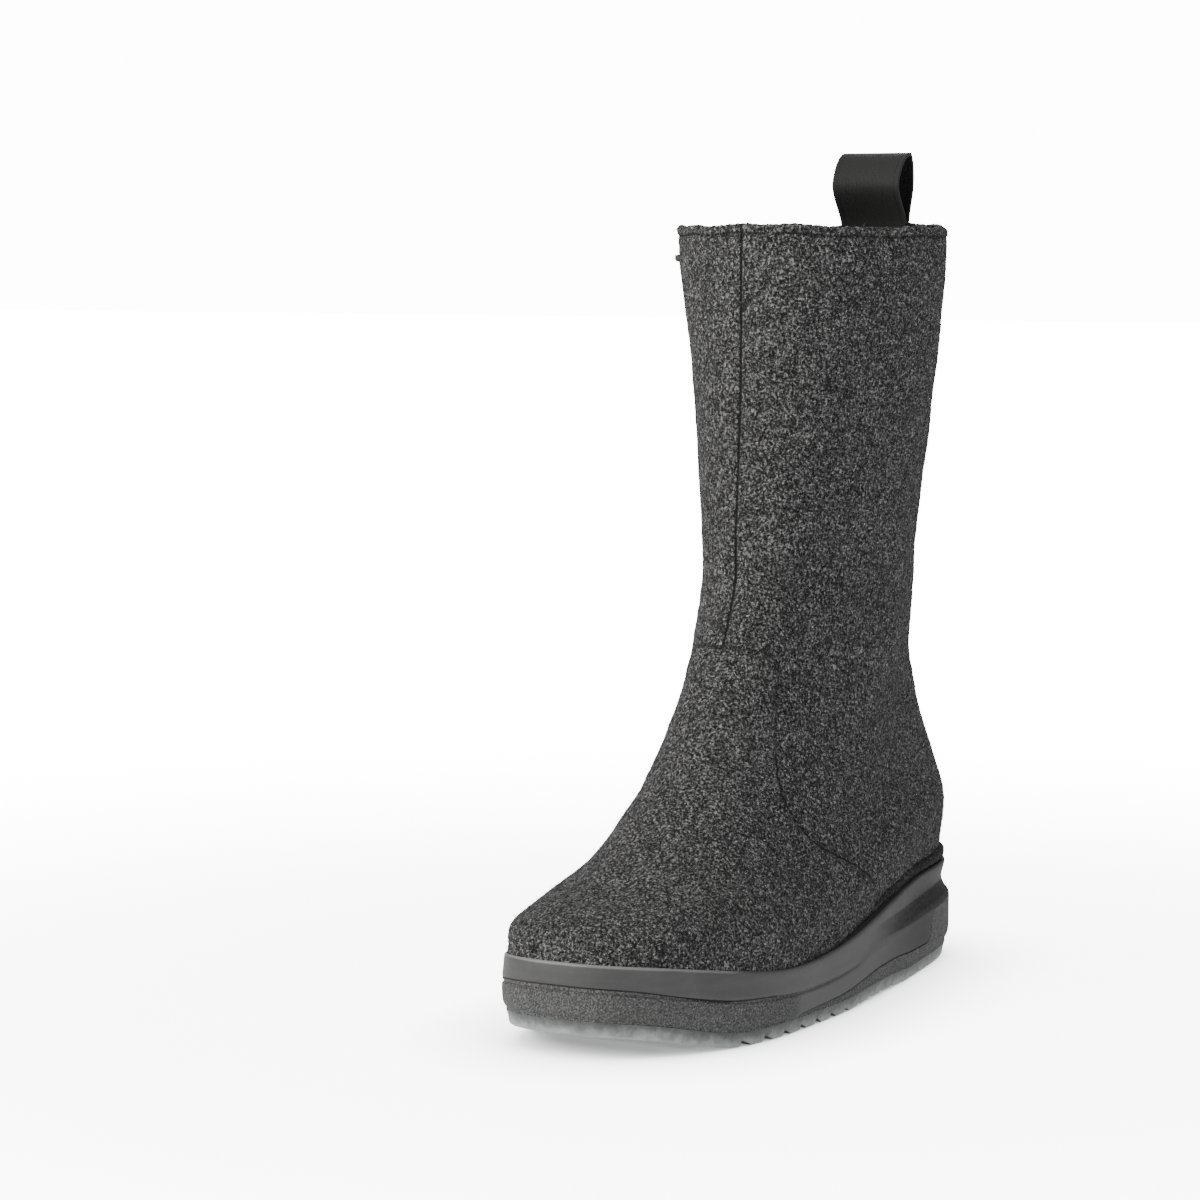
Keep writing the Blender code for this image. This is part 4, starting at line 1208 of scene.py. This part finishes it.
def build_tread(material, shadowed):
    """The pale tread with a rounded edge and its lug grooves, painted dark inside as painted shade."""
    widest = sole_loop(CUP_AROUND)
    rows = (
        (TREAD_INSET + TREAD_DRAFT, 0.0),
        (TREAD_INSET + TREAD_DRAFT * 0.4, TREAD_DRAFT * 0.35),
        (TREAD_INSET, TREAD_DRAFT),
        (TREAD_INSET - TREAD_FLARE * 0.3, TREAD_THICKNESS * 0.6),
        (TREAD_INSET - TREAD_FLARE, TREAD_THICKNESS),
        (TREAD_INSET + TREAD_FLARE, TREAD_THICKNESS + GAP),
    )
    rings = [lifted(inset_loop(widest, inset), lambda a: ground(a) + up) for inset, up in rows]
    obj = capped_stack("cloudy_tread", rings, material, 35)
    cutters = []
    for x in np.arange(x_at(LUGS_START), x_at(LUGS_END), LUG_PITCH):
        along = float(along_of(x))
        reach = BALL_WIDTH
        if along < LUGS_OPEN:
            reach = float(sole_half_width("inner", np.array(along))) - LUG_RIM
        cutters.append(lug_cutter(x, along, reach, shadowed))
    joined = join_objects("tread_cutter", cutters)
    modifier = obj.modifiers.new("lugs", "BOOLEAN")
    modifier.operation = "DIFFERENCE"
    modifier.solver = "EXACT"
    modifier.material_mode = "TRANSFER"
    modifier.object = joined
    apply_modifiers(obj)
    bpy.data.objects.remove(joined, do_unlink=True)
    places = np.empty(len(obj.data.vertices) * 3)
    obj.data.vertices.foreach_get("co", places)
    places = places.reshape(-1, 3)
    level = (places[:, 2] - ground(along_of(places[:, 0]))) / TREAD_THICKNESS
    set_attribute(obj, "level", level)
    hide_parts("outsole")
    return obj


def lug_cutter(x, along, reach, material):
    """A wedge that cuts one groove: steep on its toe side, running out towards the heel."""
    front = x - LUG_GROOVE_WIDTH / 2
    level = float(ground(np.array(along)))
    deep = level + LUG_GROOVE_DEPTH * (1 - LUG_SHALLOW * float(ease(0.42, 0.52, along)))
    outline = [
        (front, -0.01),
        (front, deep - LUG_GROOVE_DRAFT),
        (front + LUG_GROOVE_DRAFT, deep),
        (front + LUG_WEDGE, level - 0.0002),
        (front + LUG_WEDGE, -0.01),
    ]
    count = len(outline)
    faces = grid_faces(2, count)
    faces.append(list(range(count)))
    faces.append(list(range(2 * count - 1, count - 1, -1)))
    verts = [(a, y, b) for y in (-reach, reach) for a, b in outline]
    return make_object("lug_cutter", verts, faces, material, 0)


def join_objects(name, objects):
    """One object from several, their meshes joined in place."""
    bm = bmesh.new()
    for obj in objects:
        bm.from_mesh(obj.data)
    mesh = bpy.data.meshes.new(name)
    bm.to_mesh(mesh)
    bm.free()
    mesh.materials.append(objects[0].data.materials[0])
    for obj in objects:
        bpy.data.objects.remove(obj, do_unlink=True)
    return add_object(name, mesh)


def apply_modifiers(obj):
    graph = bpy.context.evaluated_depsgraph_get()
    mesh = bpy.data.meshes.new_from_object(obj.evaluated_get(graph))
    obj.modifiers.clear()
    old = obj.data
    obj.data = mesh
    bpy.data.meshes.remove(old)


def shaft_back_x(height):
    back = felt_rows(np.linspace(RIM_PLACE, COLLAR_PLACE, BACK_ROWS))[:, DENSE // 2]
    return np.interp(height, back[:, 2], back[:, 0])


def build_loop(material):
    """The woven pull loop, its tail sewn to the back wall."""
    rim = COLLAR_HEIGHT + COLLAR_BACK_RISE
    middle = shaft_back_x(rim) - WALL - LOOP_SEAT - LOOP_THICKNESS
    foot = shaft_back_x(rim - LOOP_TAIL) - WALL - LOOP_SEAT - LOOP_THICKNESS
    angles = 2 * np.pi * (np.arange(LOOP_POINTS) + 0.5) / LOOP_POINTS - np.pi / 2
    up = (1 + np.sin(angles)) / 2
    bulge = np.where(np.cos(angles) > 0, LOOP_BACK_BULGE, LOOP_FRONT_BULGE)
    reach = bulge * np.cos(angles) * ease(-0.15, 0.62, up)
    side = np.copysign(LOOP_THICKNESS, np.cos(angles)) * (1 - up)
    outer = np.column_stack([middle + reach + side, rim + LOOP_RISE * up])
    inner = inset_loop(outer, LOOP_THICKNESS)
    keep = inner[:, 1] > inner[3:-3, 1].min() + LOOP_FOLD

    def with_tail(outline, off):
        before = [(foot + off, rim - LOOP_TAIL), (middle + off, rim)]
        after = [(middle - off, rim), (foot - off, rim - LOOP_TAIL)]
        return np.array(before + outline[keep].tolist() + after)

    outer = with_tail(outer, LOOP_THICKNESS)
    inner = with_tail(inner, LOOP_FOLD)
    depth = (COLLAR_BACK - COLLAR_FRONT) * SOLE_LENGTH / 2 - WALL
    half_width = COLLAR_WIDTH / 2 - WALL
    layers = []
    for outline, other in ((outer, inner), (inner, outer)):
        for station in LOOP_STATIONS:
            y = station * LOOP_WIDTH - LOOP_SIDE
            bend = depth * (1 - math.sqrt(1 - (y / half_width) ** 2))
            hold = 1 - LOOP_UNBENT * ease(rim, rim + LOOP_RISE, outline[:, 1])
            thin = 0.35 if abs(station) == LOOP_STATIONS[-1] else 0.0
            moved = outline + (other - outline) * thin
            x = moved[:, 0] - bend * hold
            layers.append(np.column_stack([x, np.full(len(outline), y), moved[:, 1]]))
    count = len(outer)
    verts = np.concatenate(layers)
    faces = []
    half = len(LOOP_STATIONS)
    for k in range(half - 1):
        for i in range(count - 1):
            a = k * count + i
            faces.append([a, a + 1, a + count + 1, a + count])
            b = a + half * count
            faces.append([b, b + count, b + count + 1, b + 1])
    for k in (0, half - 1):
        for i in range(count - 1):
            a = k * count + i
            b = a + half * count
            faces.append([a, b, b + 1, a + 1])
    obj = make_object("woven_loop", verts, faces, material, 60)
    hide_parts("pull_loop")
    return obj


def zip_surface():
    """The felt's surface along the zip: points, ways out and along, and lengths walked."""
    dense = felt_rows(np.linspace(RIM_PLACE, COLLAR_PLACE, ZIP_ROWS))
    middle = []
    out = []
    for row, normals in zip(dense, grid_normals(dense)):
        at = sum(slot_turns(row, 0.0005)) / 2 * DENSE
        i = int(at)
        share = at - i
        middle.append(row[i] * (1 - share) + row[(i + 1) % DENSE] * share)
        out.append(normals[i])
    middle = np.array(middle)
    along = unit(np.gradient(middle, axis=0))
    return middle, np.array(out), along, walked(middle)


def build_tape(material):
    """The zip's woven tape behind the felt, thicker along its middle cord."""
    middle, out, along, lengths = zip_surface()
    height = middle[:, 2]
    keep = (height > ZIP_END_HEIGHT - ZIP_TAPE_TAIL) & (height < COLLAR_HEIGHT - ZIP_TOP_MARGIN)
    middle, out, across = middle[keep], out[keep], np.cross(along, out)[keep]
    near = []
    deep = []
    for share in np.linspace(-0.5, 0.5, TAPE_STATIONS):
        side = middle + across * share * ZIP_TAPE_WIDTH
        thin = 0.0003 * ease(0.10, 0.16, abs(share))
        near.append(side - out * (WALL + GAP + thin))
        deep.append(side - out * (WALL + GAP + ZIP_TAPE_THICKNESS))
    ring = np.array(near + deep[::-1])
    count = ring.shape[0]
    verts = ring.transpose(1, 0, 2).reshape(-1, 3)
    faces = grid_faces(ring.shape[1], count)
    for first in (0, (ring.shape[1] - 1) * count):
        for k in range(TAPE_STATIONS - 1):
            faces.append([first + k, first + k + 1, first + count - 2 - k, first + count - 1 - k])
    obj = make_object("woven_zip_tape", verts, faces, material, 50)
    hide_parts("zip_tape")
    return obj


def build_insole(material):
    """The loose felt insole with a rounded edge."""
    inset = CUP_WALL + GAP + WALL + GAP
    widest = sole_loop(INSOLE_AROUND)
    profile = (
        (0.0, 0.0),
        (0.0, INSOLE_THICKNESS - INSOLE_EDGE),
        (INSOLE_EDGE * 0.3, INSOLE_THICKNESS - INSOLE_EDGE * 0.3),
        (INSOLE_EDGE, INSOLE_THICKNESS),
    )
    rings = [
        lifted(inset_loop(widest, inset + step), lambda a: cup_floor(a) + GAP + up)
        for step, up in profile
    ]
    obj = capped_stack("felt_insole", rings, material, 50)
    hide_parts("insole")
    return obj


def build_teeth(material):
    """Interlocked teeth in two rows along the closed zip."""
    middle, out, along, lengths = zip_surface()
    height = middle[:, 2]
    inside = (height > ZIP_END_HEIGHT + 0.001) & (height < COLLAR_HEIGHT - ZIP_TOP_MARGIN - 0.001)
    places = np.arange(lengths[inside][0], lengths[inside][-1], TOOTH_PITCH)
    points, normals, ways = (sampled(places, lengths, line) for line in (middle, out, along))
    across = np.cross(ways, normals)
    levels = (TOOTH_ROOM - WALL, ZIP_TEETH_THICKNESS - TOOTH_ROOM - WALL)
    verts = []
    faces = []
    for index, point in enumerate(points):
        side = across[index] * (1 if index % 2 else -1)
        first = len(verts)
        for reach, half in TOOTH_PROFILE:
            for level in levels:
                for edge in (-half, half):
                    verts.append(point + side * reach + ways[index] * edge + normals[index] * level)
        for a in range(first, len(verts) - 4, 4):
            b = a + 4
            faces += [
                [a, a + 1, b + 1, b],
                [a + 2, b + 2, b + 3, a + 3],
                [a, b, b + 2, a + 2],
                [a + 1, a + 3, b + 3, b + 1],
            ]
        end = len(verts) - 4
        faces.append([first, first + 2, first + 3, first + 1])
        faces.append([end, end + 1, end + 3, end + 2])
    obj = make_object("zip_coil", np.array(verts), faces, material, 30)
    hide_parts("zip_teeth")
    return obj


def place_camera():
    camera = add_object("photo_camera", bpy.data.cameras.new("photo_camera"))
    azimuth = math.radians(CAMERA_AZIMUTH)
    heading = azimuth + math.radians(CAMERA_TURN)
    down = math.radians(CAMERA_DOWN)
    camera.location = (
        -CAMERA_DISTANCE * math.cos(azimuth),
        -CAMERA_DISTANCE * math.sin(azimuth),
        CAMERA_HEIGHT,
    )
    forward = Vector(
        (math.cos(heading) * math.cos(down), math.sin(heading) * math.cos(down), -math.sin(down))
    )
    camera.rotation_euler = forward.to_track_quat("-Z", "Y").to_euler()
    camera.data.sensor_fit = "HORIZONTAL"
    camera.data.sensor_width = 36.0
    camera.data.lens = CAMERA_FOCUS * camera.data.sensor_width
    camera.data.clip_start = 0.01
    bpy.context.scene.camera = camera


def place_lights():
    for light in LIGHTS:
        data = bpy.data.lights.new(light.name, "AREA")
        data.shape = "DISK"
        data.size = light.size
        data.energy = light.power
        data.color = light.colour
        lamp = add_object(light.name, data)
        lamp.location = light.place
        aim = Vector(LIGHTS_AIM) - Vector(light.place)
        lamp.rotation_euler = aim.to_track_quat("-Z", "Y").to_euler()
    world = bpy.data.worlds.new("studio")
    world.use_nodes = True
    tree = world.node_tree
    background = tree.nodes["Background"]
    background.inputs["Color"].default_value = (1, 1, 1, 1)
    seen = tree.nodes.new("ShaderNodeLightPath")
    strength = tree.nodes.new("ShaderNodeMapRange")
    strength.inputs["To Min"].default_value = WORLD_LIGHT
    strength.inputs["To Max"].default_value = WORLD_SEEN
    tree.links.new(seen.outputs["Is Camera Ray"], strength.inputs["Value"])
    tree.links.new(strength.outputs["Result"], background.inputs["Strength"])
    bpy.context.scene.world = world


def place_floor():
    """A pale floor that the camera sees almost white, with soft shadows left under the boot."""
    n = Nodes("pale_floor")
    seen = n.add("ShaderNodeLightPath").outputs["Is Camera Ray"]
    away = n.add("ShaderNodeVectorMath", {0: n.place()}, operation="LENGTH").outputs["Value"]
    far = n.span(away, 0.20, 0.9)
    open_air = n.add("ShaderNodeAmbientOcclusion", {"Distance": 0.05}, samples=16).outputs["AO"]
    glow = n.times(seen, n.plus(n.times(far, 9.0), 7.0))
    n.set(
        Base_Color=n.ramp(n.noise(n.place(), 3, 2.0, 0.5), [(0.3, 0.84), (0.7, 0.86)]),
        Roughness=0.9,
        Emission_Strength=n.plus(n.times(glow, n.math("POWER", open_air, 1.6)), FLOOR_BOUNCE),
        Emission_Color=(1, 1, 1, 1),
    )
    verts = [(FLOOR_REACH * a, FLOOR_REACH * b, 0) for a, b in ((-1, -1), (1, -1), (1, 1), (-1, 1))]
    floor = make_object("studio_floor", verts, [[0, 1, 2, 3]], n.material, 0)


def carry_over(node, material):
    """Gives a CAD node its material and soft edges."""
    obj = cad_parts[node]
    obj.data.materials.clear()
    obj.data.materials.append(material)
    bevel = obj.modifiers.new("soft_edges", "BEVEL")
    bevel.width = SOFT_EDGE
    bevel.segments = 2
    bevel.limit_method = "ANGLE"


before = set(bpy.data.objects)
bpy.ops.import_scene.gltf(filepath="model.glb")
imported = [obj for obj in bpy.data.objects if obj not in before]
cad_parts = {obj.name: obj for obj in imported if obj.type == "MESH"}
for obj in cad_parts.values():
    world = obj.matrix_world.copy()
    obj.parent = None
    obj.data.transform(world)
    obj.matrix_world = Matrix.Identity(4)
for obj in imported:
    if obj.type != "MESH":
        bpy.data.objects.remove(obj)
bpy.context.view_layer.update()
for leftover in ("Cube", "Light", "Camera"):
    if leftover in bpy.data.objects:
        bpy.data.objects.remove(bpy.data.objects[leftover], do_unlink=True)
place_camera()
place_lights()
place_floor()

felt = felt_material("charcoal_felt", 1.0, True)
lining_felt = felt_material("lining_felt", 0.8)
# the welt's felt is the charcoal felt at 30 %, a shaded copy as painted shade of the gap over the cup's
# rim
welt_felt = felt_material("welt_felt", 0.30)
short_hair = fuzz_material("wool_fuzz", 0.014, 0.190)
stray_hair = fuzz_material("stray_wool", 0.10, 0.42)
rubber = rubber_material()
tread_rubber = tread_material()
loop_tape = tape_material("black_loop_tape", 0.0085, True)
zip_tape = tape_material("black_zip_tape", 0.010, False)
metal = metal_material()

felt_object, skin, free = build_felt(felt)
fuzz = build_fuzz("felt_fuzz", skin, free, short_hair, FUZZ)
strays = build_fuzz("stray_hairs", skin, free, stray_hair, STRAYS)
pieces = {
    "felt": [felt_object, build_lining(lining_felt), build_welt(welt_felt), fuzz, strays],
    "insole_felt": [build_insole(lining_felt)],
    "rubber": [build_cup(rubber)],
    "tread_rubber": [build_tread(tread_rubber, hollow_material())],
    "tape": [build_loop(loop_tape), build_tape(zip_tape)],
    "zip_metal": [build_teeth(metal)],
}
for slot_name, objects in pieces.items():
    for obj in objects:
        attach(obj, "boot")
carry_over("zip_slider", metal)
carry_over("zip_pull", metal)
